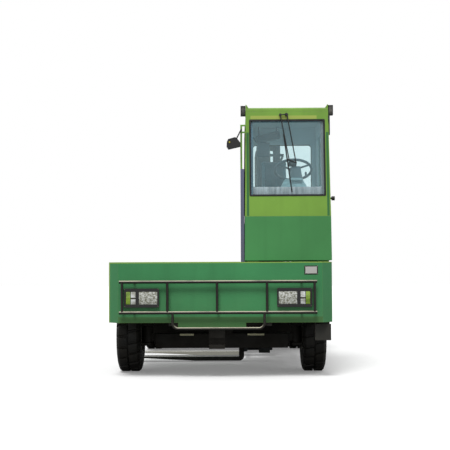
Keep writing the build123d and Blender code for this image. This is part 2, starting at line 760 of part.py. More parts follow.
step_size = (158, 240, 175)
step_top = 575
step_front = cab_front
step_inset = 16
with BuildPart() as cab_step:
    x = (cab_x - step_inset - skirt_plate - step_size[0], cab_x - step_inset)
    y = (step_front, step_front + step_size[1])
    block(x, y, (step_top - step_size[2], step_top))
    block((x[0] + 12, x[1] + 1), (y[0] + 12, y[1] - 12), (step_top - step_size[2] + 12, step_top + 1), Mode.SUBTRACT)
    hang = (cab_x - skirt_plate - 12, cab_x - skirt_plate)
    block((x[0], x[0] + 12), (y[0] + 40, y[1]), (step_top, rail_top))
    block((x[0], hang[1]), (y[1] - 12, y[1]), (step_top - 20, rail_top))
    block(hang, (-deck_end + corner_cut + 20, y[1]), (skirt_bottom, rail_top))
keep(cab_step, "cab_step")

# Front axle: a deep box beam under the saddle with an eye for a kingpin at each end

kingpin_x = wheel_track / 2 - kingpin_inset
eye_radius = 65
eye_z = (330, 510)
kingpin_radius = 25
beam_low = 267
beam_half = 90
beam_end = 84                    # from the kingpin
with BuildPart() as front_axle:
    outline = [(body_x + x, z) for x, z in (
        (-kingpin_x, eye_z[0] + 15), (beam_end - kingpin_x, eye_z[0] + 15), (beam_end - kingpin_x, beam_low + 18),
        (beam_end + 18 - kingpin_x, beam_low), (kingpin_x - beam_end - 18, beam_low),
        (kingpin_x - beam_end, beam_low + 18), (kingpin_x - beam_end, eye_z[0] + 15), (kingpin_x, eye_z[0] + 15),
        (kingpin_x, axle_top), (-kingpin_x, axle_top))]
    prism(Plane.XZ.offset(wheel_y - beam_half), outline, 2 * beam_half)
    for side in (-1, 1):
        x = body_x + side * kingpin_x
        waste = sorted((x - side * 95, x + side * 1))
        block(waste, (-wheel_y - beam_half - 1, -wheel_y - 45), (beam_low - 1, axle_top + 1), Mode.SUBTRACT)
        block(waste, (-wheel_y + 45, -wheel_y + beam_half + 1), (beam_low - 1, axle_top + 1), Mode.SUBTRACT)
        bar((x, -wheel_y, eye_z[0]), (x, -wheel_y, eye_z[1]), eye_radius)
        bar((x, -wheel_y, eye_z[0] - 1), (x, -wheel_y, eye_z[1] + 1), kingpin_radius + pivot_gap, Mode.SUBTRACT)
keep(front_axle, "front_axle")

# Knuckles: a yoke round each eye, its kingpin, and the spindle that carries the wheel

yoke_gap = 5
yoke_plate = 32
yoke_radius = 72
yoke_reach = 100
for side, name in ((-1, "left_knuckle"), (1, "right_knuckle")):
    with BuildPart() as knuckle:
        x = body_x + side * kingpin_x
        for z in (eye_z[0] - yoke_gap - yoke_plate, eye_z[1] + yoke_gap):
            bar((x, -wheel_y, z), (x, -wheel_y, z + yoke_plate), yoke_radius)
            block(sorted((x, x + side * yoke_reach)), (-wheel_y - yoke_radius, -wheel_y + yoke_radius), (z, z + yoke_plate))
        web = sorted((x + side * (eye_radius + 10), x + side * yoke_reach))
        block(web, (-wheel_y - yoke_radius, -wheel_y + yoke_radius), (eye_z[0] - yoke_gap - yoke_plate, eye_z[1] + yoke_gap + yoke_plate))
        bar((x, -wheel_y, eye_z[0] - yoke_gap - yoke_plate), (x, -wheel_y, eye_z[1] + yoke_gap + yoke_plate), kingpin_radius)
        hub_x = x + side * (kingpin_inset + 60)
        bar((x + side * (eye_radius + 15), -wheel_y, tyre_radius), (hub_x, -wheel_y, tyre_radius), spindle_radius)
    keep(knuckle, name)

# Rear axle: a round tube with the drive casing in its middle and a spindle at each end

with BuildPart() as rear_axle:
    tube_half = wheel_track / 2 - 90
    bar((body_x - tube_half, wheel_y, tyre_radius), (body_x + tube_half, wheel_y, tyre_radius), axle_tube)
    spindle_half = wheel_track / 2 + 60
    bar((body_x - spindle_half, wheel_y, tyre_radius), (body_x + spindle_half, wheel_y, tyre_radius), spindle_radius)
    with BuildSketch(Plane(origin=(body_x, wheel_y, tyre_radius), x_dir=(1, 0, 0), z_dir=(0, -1, 0))):
        with BuildLine():
            Polyline((-230, 0), (-230, 70), (-110, 160), (110, 160), (230, 70), (230, 0), close=True)
        make_face()
    revolve(axis=Axis((body_x, wheel_y, tyre_radius), (1, 0, 0)))
keep(rear_axle, "rear_axle")

# Wheels: a rounded tyre on a dished rim that turns on its spindle

wheels = (("front_left", -1, -1), ("front_right", 1, -1), ("rear_left", -1, 1), ("rear_right", 1, 1))
tyre_half = tyre_width / 2
tyre_line = [(share * tyre_half, tyre_radius - drop) for share, drop in tyre_section]
groove_line = [(tyre_half + 1, tyre_radius + 1)] + [
    (x + 1, z - groove_size[2] * min(1, (tyre_half + 30 - x) / 50)) for x, z in tyre_line[:-1]] + [
    (tyre_half - groove_size[1], tyre_radius - groove_size[2]), (tyre_half - groove_size[1], tyre_radius + 1)]
with BuildPart() as groove:
    prism(Plane.XZ.offset(-groove_size[0] / 2), groove_line, groove_size[0])
for name, side, end in wheels:
    middle = (body_x + side * wheel_track / 2, end * wheel_y, tyre_radius)
    plane = Plane(origin=middle, x_dir=(side, 0, 0), z_dir=(0, -side, 0))
    turn = Axis(middle, (1, 0, 0))
    with BuildPart() as tyre:
        with BuildSketch(plane):
            with BuildLine():
                Polyline((-tyre_half, rim_radius), *[(-x, z) for x, z in tyre_line], *reversed(tyre_line),
                         (tyre_half, rim_radius), close=True)
            make_face()
        revolve(axis=turn)
        for face, start in ((0, 0), (180, 180 / tyre_lugs)):
            with Locations(Location(middle, (0, 0, face))):
                for step in range(tyre_lugs):
                    with Locations(Location((0, 0, 0), (start + step * 360 / tyre_lugs, 0, 0))):
                        add(groove.part, mode=Mode.SUBTRACT)
    keep(tyre, f"{name}_tyre")
    with BuildPart() as rim:
        with BuildSketch(plane):
            with BuildLine():
                outer = rim_radius - lens_gap
                Polyline((-tyre_half + 4, outer), (tyre_half - 4, outer), (tyre_half - 4, outer - rim_wall),
                         (90, outer - rim_wall), (70, 120), (70, hub_radius), (110, hub_radius), (110, 0), (100, 0),
                         (100, spindle_radius + wheel_gap), (0, spindle_radius + wheel_gap), (0, hub_radius),
                         (50, hub_radius), (50, 120), (62, outer - rim_wall),
                         (-tyre_half + 4, outer - rim_wall), close=True)
            make_face()
        revolve(axis=turn)
    keep(rim, f"{name}_rim")

# Reach carriage: two beams with rollers, a cross member behind, and ears for the tilt cylinders

with BuildPart() as reach_carriage:
    for side in (-1, 1):
        inner_y = side * reach_beam_y[0]
        outer_y = side * reach_beam_y[1]
        block(reach_x, sorted((inner_y, outer_y)), reach_beam_z)
        for x in reach_roller_x:
            axle_z = bulkhead_bottom + runner_wall + reach_roller + seat_gap
            bar((x, outer_y - side * 10, axle_z), (x, side * (well_half - runner_depth + 12), axle_z), 25)
            bar((x, side * (well_half - runner_depth + 10), axle_z), (x, side * (well_half - runner_wall - 5), axle_z), reach_roller)
        low = (tilt_low[0], tilt_low[1])
        for y in (tilt_y - 32, tilt_y + 20):
            ear = sorted((side * y, side * (y + 12)))
            block((low[0] - 35, low[0] + 35), ear, (reach_beam_z[1] - 10, low[1] + 30))
        bar((low[0], side * (tilt_y - 33), low[1]), (low[0], side * (tilt_y + 33), low[1]), tilt_pin)
        bar((pivot_x, side * (reach_beam_y[0] - 1), pivot_z), (pivot_x, side * (reach_beam_y[1] + 1), pivot_z),
            pivot_radius + pivot_gap, Mode.SUBTRACT)
    block((reach_x[1] - 80, reach_x[1]), (-reach_beam_y[1], reach_beam_y[1]), (reach_beam_z[0] - 120, reach_beam_z[1]))
keep(reach_carriage, "reach_carriage")

# Outer mast: two channels that face each other, U-shaped ties behind them, cylinders and pivots

flange_x = (mast_x, mast_x + channel_depth)
with BuildPart() as outer_mast:
    for side in (-1, 1):
        web = side * outer_half
        lip = side * outer_lip
        inside = side * (outer_half - channel_web)
        x0, x1 = flange_x
        section = ((x0, web), (x1, web), (x1, lip), (x1 - channel_flange, lip), (x1 - channel_flange, inside),
                   (x0 + channel_flange, inside), (x0 + channel_flange, lip), (x0, lip))
        prism(Plane.XY.offset(mast_bottom), section, mast_top - mast_bottom)
        bar((pivot_x, side * (outer_half - 5), pivot_z), (pivot_x, side * reach_beam_y[1], pivot_z), pivot_radius)
        bar((pivot_x, side * (outer_half - 5), pivot_z), (pivot_x, side * (reach_beam_y[0] - 5), pivot_z), 60)
        for band in tie_bands:
            wing = sorted((side * (outer_half - channel_web), side * outer_half))
            block((x1 - 5, x1 + tie_back), wing, band)
        barrel_x = x1 + cylinder_back
        foot = sorted((side * (cylinder_y - barrel_radius), side * outer_half))
        block((x1 + 4, x1 + tie_back), foot, (tie_bands[0][0], tie_bands[0][0] + 30))
        bar((barrel_x, side * cylinder_y, tie_bands[0][0] + 20), (barrel_x, side * cylinder_y, barrel_top), barrel_radius)
        clamp = sorted((side * (cylinder_y - 12), side * (cylinder_y + 12)))
        block((barrel_x + barrel_radius - 8, x1 + tie_back - 10), clamp, tie_bands[1])
        ear = sorted((side * (outer_half - channel_web), side * outer_half))
        block((x1 + 10, tilt_high[0] + 35), ear, (tilt_high[1] - 40, tilt_high[1] + 40))
        bar((tilt_high[0], side * (outer_half - 5), tilt_high[1]), (tilt_high[0], side * (tilt_y + 30), tilt_high[1]), tilt_pin)
        bar((pivot_x, side * (outer_half - channel_web - 5 + 10), mast_top - 150), (pivot_x, side * (inner_lips[1] - 4), mast_top - 150), 22)
        bar((pivot_x, side * (inner_lips[1] - 4), mast_top - 150), (pivot_x, side * (inner_lips[1] - 32), mast_top - 150), mast_roller)
    for band in tie_bands:
        block((x1 + tie_back - 20, x1 + tie_back), (-outer_half, outer_half), band)
    anchor_z = tie_bands[2][0] + 40
    chain_back = pivot_x + sheave_radius + chain_thick / 2
    for side in (-1, 1):
        grip = (side * chain_y - 20, side * chain_y + 20)
        block((chain_back - 14, x1 + tie_back - 10), grip, (anchor_z - 20, anchor_z))
    for side in (-1, 1):
        barrel_x = x1 + cylinder_back
        bar((barrel_x, side * cylinder_y, tie_bands[0][0] + 60), (barrel_x, side * cylinder_y, barrel_top + 1), rod_radius + rod_gap, Mode.SUBTRACT)
keep(outer_mast, "outer_mast")

# Inner mast: two I-beams with a crosshead, a bottom tie, rollers and the cylinder rods

with BuildPart() as inner_mast:
    x0, x1 = flange_x
    for side in (-1, 1):
        near = side * inner_lips[0]
        far = side * inner_lips[1]
        mid = (near + far) / 2
        half_web = side * channel_web / 2
        section = ((x0, near), (x0, far), (x0 + channel_flange, far), (x0 + channel_flange, mid + half_web),
                   (x1 - channel_flange, mid + half_web), (x1 - channel_flange, far), (x1, far), (x1, near),
                   (x1 - channel_flange, near), (x1 - channel_flange, mid - half_web),
                   (x0 + channel_flange, mid - half_web), (x0 + channel_flange, near))
        prism(Plane.XY.offset(mast_bottom + 20), section, mast_top - mast_bottom - 60)
        bar((pivot_x, mid, mast_bottom + 90), (pivot_x, side * (outer_half - channel_web - 30), mast_bottom + 90), 22)
        bar((pivot_x, side * (outer_lip + 10), mast_bottom + 90), (pivot_x, side * (outer_half - channel_web - 5), mast_bottom + 90), mast_roller)
        rod_x = x1 + cylinder_back
        bar((rod_x, side * cylinder_y, tie_bands[0][0] + 70), (rod_x, side * cylinder_y, mast_top - 30), rod_radius)
        for y in (chain_y - 26, chain_y + 16):
            cheek = sorted((side * y, side * (y + 10)))
            block((pivot_x - 30, pivot_x + 30), cheek, (sheave_z - 30, mast_top - 60))
        bar((pivot_x, side * (chain_y - 26), sheave_z), (pivot_x, side * (chain_y + 26), sheave_z), 20)
        bar((pivot_x, side * (chain_y - 15), sheave_z), (pivot_x, side * (chain_y + 15), sheave_z), sheave_radius)
    crosshead = (mast_top - 80, mast_top - 40)
    block((x0, x1 + cylinder_back + 40), (-inner_lips[1] + 4, inner_lips[1] - 4), crosshead)
    block((x1 - 4, x1 + 36), (-inner_lips[0] - 15, inner_lips[0] + 15), (mast_bottom + 20, mast_bottom + 150))
keep(inner_mast, "inner_mast")

# Lift chains: from the anchors up over the sheaves and down to the carriage

carriage_anchor = bar_bands[1][1]
with BuildPart() as lift_chains:
    for side in (-1, 1):
        plane = Plane.XZ.offset(-side * chain_y - chain_width / 2)
        with BuildSketch(plane) as run:
            with Locations((pivot_x, sheave_z)):
                Circle(sheave_radius + chain_thick)
                Circle(sheave_radius + lens_gap, mode=Mode.SUBTRACT)
            with Locations((pivot_x, sheave_z - 200)):
                Rectangle(500, 400, mode=Mode.SUBTRACT)
            inner = sheave_radius + lens_gap
            outer = sheave_radius + chain_thick
            for near, far, low in ((-outer, -inner, carriage_anchor), (inner, outer, anchor_z)):
                with Locations((pivot_x + (near + far) / 2, (low + sheave_z) / 2)):
                    Rectangle(far - near, sheave_z - low)
                links = int((sheave_z - low) / chain_pitch)
                with Locations(*[(pivot_x + x, sheave_z - (link + 0.5) * chain_pitch)
                                 for link in range(links) for x in (near, far)]):
                    Rectangle(link_notch, link_notch, rotation=45, mode=Mode.SUBTRACT)
            turned = int(math.pi * (inner + outer) / 2 / chain_pitch)
            for radius in (inner, outer):
                with Locations((pivot_x, sheave_z)):
                    with PolarLocations(radius, turned, 90 / turned, 180):
                        Rectangle(link_notch, link_notch, rotation=45, mode=Mode.SUBTRACT)
        extrude(run.sketch, amount=chain_width)
keep(lift_chains, "lift_chains")

# Tilt cylinders: barrel and rod between the reach carriage and the mast

tilt_run = Vector(tilt_high[0] - tilt_low[0], 0, tilt_high[1] - tilt_low[1])
tilt_unit = tilt_run.normalized()


def on_tilt(y, distance):
    """A point on a tilt cylinder's line, by its distance from the lower pin."""
    return (tilt_low[0] + tilt_unit.X * distance, y, tilt_low[1] + tilt_unit.Z * distance)


barrel_end = 440
with BuildPart() as tilt_barrels:
    for side in (-1, 1):
        y = side * tilt_y
        bar((tilt_low[0], y - 18, tilt_low[1]), (tilt_low[0], y + 18, tilt_low[1]), 34)
        bar(on_tilt(y, 28), on_tilt(y, 70), 20)
        bar(on_tilt(y, 60), on_tilt(y, barrel_end), tilt_barrel - 8)
        bar((tilt_low[0], y - 19, tilt_low[1]), (tilt_low[0], y + 19, tilt_low[1]), tilt_pin + pivot_gap, Mode.SUBTRACT)
        bar(on_tilt(y, 90), on_tilt(y, barrel_end + 1), tilt_rod + rod_gap, Mode.SUBTRACT)
keep(tilt_barrels, "tilt_barrels")

with BuildPart() as tilt_rods:
    for side in (-1, 1):
        y = side * tilt_y
        bar(on_tilt(y, 180), on_tilt(y, tilt_run.length - 28), tilt_rod)
        high = (tilt_high[0], y, tilt_high[1])
        bar((tilt_high[0], y - 18, tilt_high[1]), (tilt_high[0], y + 18, tilt_high[1]), 36)
        bar((tilt_high[0], y - 19, tilt_high[1]), (tilt_high[0], y + 19, tilt_high[1]), tilt_pin + tilt_gap, Mode.SUBTRACT)
keep(tilt_rods, "tilt_rods")

# Fork carriage: two cross bars, side plates with rollers in the inner mast, and the chain anchors

with BuildPart() as fork_carriage:
    for band in bar_bands:
        block((carriage_face, carriage_face + bar_depth), (-carriage_half, carriage_half), band)
    for side in (-1, 1):
        plate = sorted((side * plate_y[0], side * plate_y[1]))
        block((carriage_face + 5, pivot_x + 50), plate, (bar_bands[0][0], bar_bands[1][1]))
        for z in roller_heights:
            bar((pivot_x, side * (plate_y[0] + 5), z), (pivot_x, side * (inner_lips[0] + 6), z), 22)
            bar((pivot_x, side * (plate_y[1] + 8), z), (pivot_x, side * (plate_y[1] + 36), z), mast_roller)
        brace = sorted((side * (carriage_half - 40), side * (carriage_half - 20)))
        block((carriage_face + 5, carriage_face + bar_depth - 5), brace, (bar_bands[0][0], bar_bands[1][1]))
    chain_front = pivot_x - sheave_radius - chain_thick / 2
    block((chain_front - 20, chain_front + 20), (-plate_y[1], plate_y[1]), (bar_bands[1][0] + 30, bar_bands[1][1]))
keep(fork_carriage, "fork_carriage")

# Forks: an L profile with a rounded heel and a long taper to the tip

tip_x = carriage_face - shank_thick - fork_length
with BuildPart() as forks:
    for side in (-1, 1):
        with BuildSketch(Plane.XZ.offset(-side * fork_y - fork_width / 2)) as outline:
            top = fork_bottom + blade_thick
            shank = carriage_face - shank_thick
            with BuildLine():
                Polyline((carriage_face, fork_top), (carriage_face, fork_bottom), (tip_x + fork_taper, fork_bottom),
                         (tip_x, top - fork_tip_thick), (tip_x, top), (shank, top), (shank, fork_top), close=True)
            make_face()
            heel = outline.vertices().sort_by(lambda v: (v.X - carriage_face) ** 2 + (v.Y - fork_bottom) ** 2)[0]
            fillet(heel, heel_round)
        extrude(outline.sketch, amount=fork_width)
keep(forks, "forks")

# Engine under its cover behind the mast, and a tank beside each end of the well

with BuildPart() as engine_block:
    half = (engine_size[0] / 2, engine_size[1] / 2)
    block((engine_middle[0] - half[0], engine_middle[0] + half[0]), (engine_middle[1] - half[1], engine_middle[1] + half[1]),
          (rail_top, rail_top + engine_size[2]))
keep(engine_block, "engine_block")

tank_size = (300, 280, 400)
with BuildPart() as tanks:
    for end in (-1, 1):
        wall = well_half + bulkhead_depth
        block((load_x + skirt_plate + 10, load_x + skirt_plate + 10 + tank_size[0]), sorted((end * wall, end * (wall + tank_size[1]))),
              (skirt_bottom + 20, skirt_bottom + 20 + tank_size[2]))
keep(tanks, "tanks")

with BuildPart() as engine_hood:
    outline = ((hood_y[0], deck_top + 6), (hood_y[1], deck_top + 6), (hood_y[1], hood_top - hood_nose), (hood_y[1] - hood_nose, hood_top),
               (hood_y[0], hood_top))
    prism(Plane.YZ.offset(hood_x0), outline, cab_x - hood_x0)
    room = ((hood_y[0] + hood_wall, deck_top), (hood_y[1] - hood_wall, deck_top), (hood_y[1] - hood_wall, hood_top - hood_nose - 5),
            (hood_y[1] - hood_nose - 5, hood_top - hood_wall), (hood_y[0] + hood_wall, hood_top - hood_wall))
    prism(Plane.YZ.offset(hood_x0 + hood_wall), room, cab_x - hood_x0 - 2 * hood_wall, Mode.SUBTRACT)
    for row in range(5):
        z = deck_top + 140 + row * 60
        pane(Plane.YZ.offset(cab_x - hood_wall - 1), (1300, z), (700, 30), hood_wall + 2, Mode.SUBTRACT, 14)
    for y in hood_hinges:
        low = y + hinge_length + hinge_gap
        block((hood_hinge_x, hood_x0 + 6), (low, low + hinge_length), (hood_hinge_z - 5, hood_hinge_z + 5))
        bar((hood_hinge_x, low, hood_hinge_z), (hood_hinge_x, low + hinge_length, hood_hinge_z), hood_barrel)
        bar((hood_hinge_x, low - 1, hood_hinge_z), (hood_hinge_x, low + hinge_length + 1, hood_hinge_z),
            hinge_pin + pivot_gap, Mode.SUBTRACT)
keep(engine_hood, "engine_hood")
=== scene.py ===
# %% [markdown]
# # A side loader forklift, dressed for its picture
#
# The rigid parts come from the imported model: decks, cab, mast, axles and wheels. This file gives
# them their finishes, and adds what is too fine for the solids: tread, wheel nuts, lamp lenses,
# seals, trim, levers and a sewn seat. It reads like a notebook, one step a cell.

# %% Load the frame
import math

import bmesh
import bpy
from mathutils import Matrix, Vector


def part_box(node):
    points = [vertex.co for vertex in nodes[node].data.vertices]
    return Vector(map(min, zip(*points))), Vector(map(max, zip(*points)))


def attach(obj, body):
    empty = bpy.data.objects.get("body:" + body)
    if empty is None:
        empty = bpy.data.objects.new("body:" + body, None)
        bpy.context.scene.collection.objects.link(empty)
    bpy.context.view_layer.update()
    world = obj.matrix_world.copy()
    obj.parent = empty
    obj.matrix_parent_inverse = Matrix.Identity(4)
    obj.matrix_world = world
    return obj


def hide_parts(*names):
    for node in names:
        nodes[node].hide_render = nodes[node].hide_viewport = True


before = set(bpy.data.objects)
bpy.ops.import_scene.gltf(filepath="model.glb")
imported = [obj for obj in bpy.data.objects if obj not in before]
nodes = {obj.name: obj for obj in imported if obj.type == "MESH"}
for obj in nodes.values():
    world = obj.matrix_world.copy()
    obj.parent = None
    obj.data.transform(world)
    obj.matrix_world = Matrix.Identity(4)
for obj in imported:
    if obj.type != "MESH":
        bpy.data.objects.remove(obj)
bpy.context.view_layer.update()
scene = bpy.context.scene
print("packed nodes:", len(nodes))

# %% [markdown]
# ## Camera
#
# The picture looks at the front end from chest height, with the lens a little to the door side
# of the middle. A long lens keeps the sides of the decks hidden behind the end panel. The
# aim is turned, and not shifted, so that the same camera serves every other view.

# %% Camera
FOCAL_PIXELS = 1031
PICTURE = 450
SENSOR = 36
CAMERA_PLACE = (0.189, -13.578, 1.158)
CAMERA_AIM = {"pitch": 2.485, "yaw": 0.83, "roll": 0.25}


def add_camera(place, pitch, yaw, roll):
    """A camera that looks along +Y before it is turned; angles in degrees."""
    data = bpy.data.cameras.new("view")
    data.sensor_width = SENSOR
    data.lens = SENSOR * FOCAL_PIXELS / PICTURE
    data.clip_end = 200
    camera = bpy.data.objects.new("view", data)
    aim = Matrix.Rotation(math.radians(yaw), 4, "Z") @ Matrix.Rotation(math.radians(90 + pitch), 4, "X")
    camera.matrix_world = Matrix.Translation(place) @ aim @ Matrix.Rotation(math.radians(-roll), 4, "Z")
    scene.collection.objects.link(camera)
    scene.camera = camera


add_camera(CAMERA_PLACE, **CAMERA_AIM)
print("camera at", CAMERA_PLACE, "aimed by", CAMERA_AIM)

# %% [markdown]
# ## Shader maths
#
# A material's nodes form a graph, and a graph is slow to write by hand. The class below wraps one
# socket, so that the arithmetic of a mask reads as arithmetic. Every other node comes from its
# one `node` method, which takes the node's settings and then the values or wires of its sockets.

# %% The Wire class


class Wire:
    """One output socket of a material's nodes. Arithmetic on it adds Math nodes."""

    def __init__(self, tree, socket=None):
        self.tree = tree
        self.socket = socket

    def node(self, kind, settings=None, inputs=None, output=0):
        """Add any node: its settings first, then values or wires for its sockets."""
        made = self.tree.nodes.new(kind)
        for name, value in (settings or {}).items():
            setattr(made, name, value)
        for name, value in (inputs or {}).items():
            if isinstance(value, Wire):
                self.tree.links.new(value.socket, made.inputs[name])
            else:
                made.inputs[name].default_value = value
        return Wire(self.tree, made.outputs[output])

    def math(self, operation, *values):
        return self.node("ShaderNodeMath", {"operation": operation}, dict(enumerate(values)))

    def __add__(self, other):
        return self.math("ADD", self, other)

    def __mul__(self, other):
        return self.math("MULTIPLY", self, other)

    def __sub__(self, other):
        return self.math("SUBTRACT", self, other)

    def __rsub__(self, other):
        return self.math("SUBTRACT", other, self)

    def __gt__(self, other):
        return self.math("GREATER_THAN", self, other)

    def __lt__(self, other):
        return self.math("LESS_THAN", self, other)

    __radd__ = __add__
    __rmul__ = __mul__

    def at_least(self, other):
        """The larger of two values."""
        return self.math("MAXIMUM", self, other)

    def size(self):
        """The value without its sign."""
        return self.math("ABSOLUTE", self)

    def ramp(self, low, high, start=0.0, end=1.0):
        """Map low..high to start..end, held at both ends."""
        sockets = {0: self, 1: low, 2: high, 3: start, 4: end}
        return self.node("ShaderNodeMapRange", {"clamp": True}, sockets)

    def either(self, first, second):
        """A colour: first where this mask is 0, second where it is 1."""
        colours = [colour if isinstance(colour, Wire) else (*colour, 1) for colour in (first, second)]
        sockets = {0: self, 6: colours[0], 7: colours[1]}
        return self.node("ShaderNodeMix", {"data_type": "RGBA"}, sockets, 2)


def linear(code):
    """A #rrggbb colour as the linear numbers that shaders take."""
    values = [int(code[i:i + 2], 16) / 255 for i in (1, 3, 5)]
    return tuple(v / 12.92 if v <= 0.04045 else ((v + 0.055) / 1.055) ** 2.4 for v in values)


def shade(colour, factor, lift=0.0):
    """A linear colour, made darker or paler."""
    return tuple(min(1, channel * factor + lift) for channel in colour)


def start_material(name):
    """A new material: itself, a first wire and its shader node."""
    material = bpy.data.materials.new(name)
    material.use_nodes = True
    shader = material.node_tree.nodes["Principled BSDF"]
    return material, Wire(material.node_tree), shader


def feed(shader, **wires):
    """Link wires to a shader's sockets; an underscore in a name stands for a space."""
    for name, wire in wires.items():
        wire.tree.links.new(wire.socket, shader.inputs[name.replace("_", " ")])


def hold(shader, **numbers):
    """Set what is the same all over the surface on the shader's own sockets."""
    for name, number in numbers.items():
        shader.inputs[name.replace("_", " ")].default_value = number


print("a green in linear numbers:", [round(value, 3) for value in linear("#3b8752")])

# %% [markdown]
# ## Light
#
# A studio with white walls: the world gives a soft even light from everywhere, and one large
# sun-like lamp from above the front draws soft shadows below the rails. To the camera, in
# reflections and through glass the world is white, but it lights the machine only softly. The
# floor is paler to the camera than to the machine, so that only a soft shadow shows round it.

# %% World, key lamp and floor
SKY_LIGHT = 0.58
KEY_STRENGTH = 2.3
KEY_SPREAD = 20
KEY_FROM = (-0.13, -0.6, 1.0)
FLOOR_SIZE = 60
FLOOR_SEEN = 0.82
FLOOR_GLOW = 0.18
FLOOR_BOUNCE = 0.3


def rays(wire, kind):
    """1 for the rays of one kind: Camera, Glossy or Transmission."""
    path = wire.node("ShaderNodeLightPath").socket.node
    return Wire(wire.tree, path.outputs[f"Is {kind} Ray"])


scene.view_settings.view_transform = "Standard"
world = bpy.data.worlds.new("studio")
scene.world = world
world.use_nodes = True
sky = Wire(world.node_tree)
plain = rays(sky, "Camera").at_least(rays(sky, "Glossy").at_least(rays(sky, "Transmission")))
background = world.node_tree.nodes["Background"]
background.inputs["Color"].default_value = (1, 1, 1, 1)
world.node_tree.links.new((plain * (1 - SKY_LIGHT) + SKY_LIGHT).socket, background.inputs["Strength"])

lamp = bpy.data.lights.new("key", "SUN")
lamp.energy = KEY_STRENGTH
lamp.angle = math.radians(KEY_SPREAD)
key = bpy.data.objects.new("key", lamp)
key.matrix_world = Vector(KEY_FROM).to_track_quat("Z", "Y").to_matrix().to_4x4()
scene.collection.objects.link(key)

floor_mesh = bmesh.new()
bmesh.ops.create_grid(floor_mesh, x_segments=1, y_segments=1, size=FLOOR_SIZE)
floor_data = bpy.data.meshes.new("floor")
floor_mesh.to_mesh(floor_data)
floor_mesh.free()
floor = bpy.data.objects.new("floor", floor_data)
scene.collection.objects.link(floor)
floor_paint, wire, shader = start_material("pale_floor")
seen = rays(wire, "Camera")
feed(shader, Base_Color=seen.either((FLOOR_BOUNCE,) * 3, (FLOOR_SEEN,) * 3),
     Emission_Color=seen.either((0, 0, 0), (FLOOR_GLOW,) * 3))
hold(shader, Emission_Strength=1, Roughness=1, Specular_IOR_Level=0)
floor_data.materials.append(floor_paint)
print("studio: sky", SKY_LIGHT, "key", KEY_STRENGTH)

# %% [markdown]
# ## Masks and patterns
#
# A finish changes over a piece for a reason: it lies low down, it looks up, it is an edge. Each
# reason has a small mask maker here. The Bevel node rounds edges for the shader alone, and where
# its normal parts from the real one there is an edge, so one node gives both the soft highlight
# along a fold and the mask for the chips.

# %% Mask makers
CAB_X = (0.239, 1.175)
CAB_Y = (-2.5, -1.0)
CAB_FLOOR = 1.3
CAB_FOLD = 1.73
CAB_TOP = 2.925
CAB_WALL = 0.03
LEAN_ANGLE = math.radians(6.1)
CAB_LEAN = math.tan(LEAN_ANGLE)


def pattern(wire, scale, detail, stretch=(1, 1, 1), rough=0.5):
    """A 0..1 noise on the object's own coordinates, in metres."""
    place = wire.node("ShaderNodeTexCoord", output=3)
    placed = place.node("ShaderNodeMapping", None, {"Vector": place, "Scale": stretch})
    sockets = {"Vector": placed, "Scale": scale, "Detail": detail, "Roughness": rough}
    return placed.node("ShaderNodeTexNoise", None, sockets)


def axis_of(wire, axis):
    """One coordinate of the object's own place, 0 to 2 for X, Y and Z."""
    place = wire.node("ShaderNodeTexCoord", output=3)
    return place.node("ShaderNodeSeparateXYZ", None, {"Vector": place}, axis)


def facing(wire, axis):
    """How much a surface looks along one axis, from -1 to 1."""
    normal = wire.node("ShaderNodeNewGeometry", output=1)
    return normal.node("ShaderNodeSeparateXYZ", None, {"Vector": normal}, axis)


def within(wire, axis, low, high):
    """1 between two heights, widths or lengths."""
    place = axis_of(wire, axis)
    return (place > low) * (place < high)


def rounded_edges(wire, radius):
    """A normal that is rounded at edges, and a 0..1 mask of those edges."""
    soft = wire.node("ShaderNodeBevel", {"samples": 6}, {"Radius": radius})
    flat = wire.node("ShaderNodeNewGeometry", output=1)
    agree = soft.node("ShaderNodeVectorMath", {"operation": "DOT_PRODUCT"}, {0: soft, 1: flat}, 1)
    return soft, (1 - agree).ramp(0.01, 0.16)


def raised(height, strength, depth, **normal):
    """The normal of a surface that a height pattern makes uneven; depth in metres."""
    sockets = {"Strength": strength, "Distance": depth, "Height": height, **normal}
    return height.node("ShaderNodeBump", None, sockets)


def inside_cab(wire):
    """1 on the cab's inner faces, which stand behind its outer ones."""
    y = axis_of(wire, 1)
    above = axis_of(wire, 2) - CAB_FOLD
    front = y - above.at_least(0.0) * CAB_LEAN
    across = within(wire, 0, CAB_X[0] + CAB_WALL, CAB_X[1] - CAB_WALL)
    along = (front > CAB_Y[0] + CAB_WALL) * (y < CAB_Y[1] - CAB_WALL)
    return across * along * within(wire, 2, CAB_FLOOR, CAB_TOP - CAB_WALL)


def before_screen(wire):
    """1 ahead of the driver, where the windscreen and the cab's front are."""
    return axis_of(wire, 1) < -2.3


def painted_rail_shadow(wire):
    """A painted shadow under the lower rail: a darker band along the bottom of the end panels."""
    upright = facing(wire, 1).size() > 0.9
    return axis_of(wire, 2).ramp(0.655, 0.663, 0.85, 0) * within(wire, 0, -1.115, 1.065) * upright


def door_knob(wire):
    """The knob and its neck, the only part of the door so far out and low down."""
    out = axis_of(wire, 0) > CAB_X[1] + 0.002
    return out * within(wire, 2, 1.88, 1.97) * within(wire, 1, -2.4, -2.25)


def above_plate(wire):
    """The open frame above the load guard's plate."""
    return axis_of(wire, 2) > CAB_TOP - 0.68


def painted_brow_highlight(wire):
    """A painted highlight: a yellower strip above the windscreen."""
    return within(wire, 0, 0.31, 1.03) * within(wire, 2, 2.797, 2.836) * before_screen(wire)


def painted_corner_shade(wire):
    """Painted shade: dark strips beside the windscreen, where the front meets the pillars."""
    seams = within(wire, 0, 0.264, 0.29) + within(wire, 0, 1.13, 1.155)
    return seams * within(wire, 2, 1.735, 2.65) * (facing(wire, 1) < -0.9) * before_screen(wire)


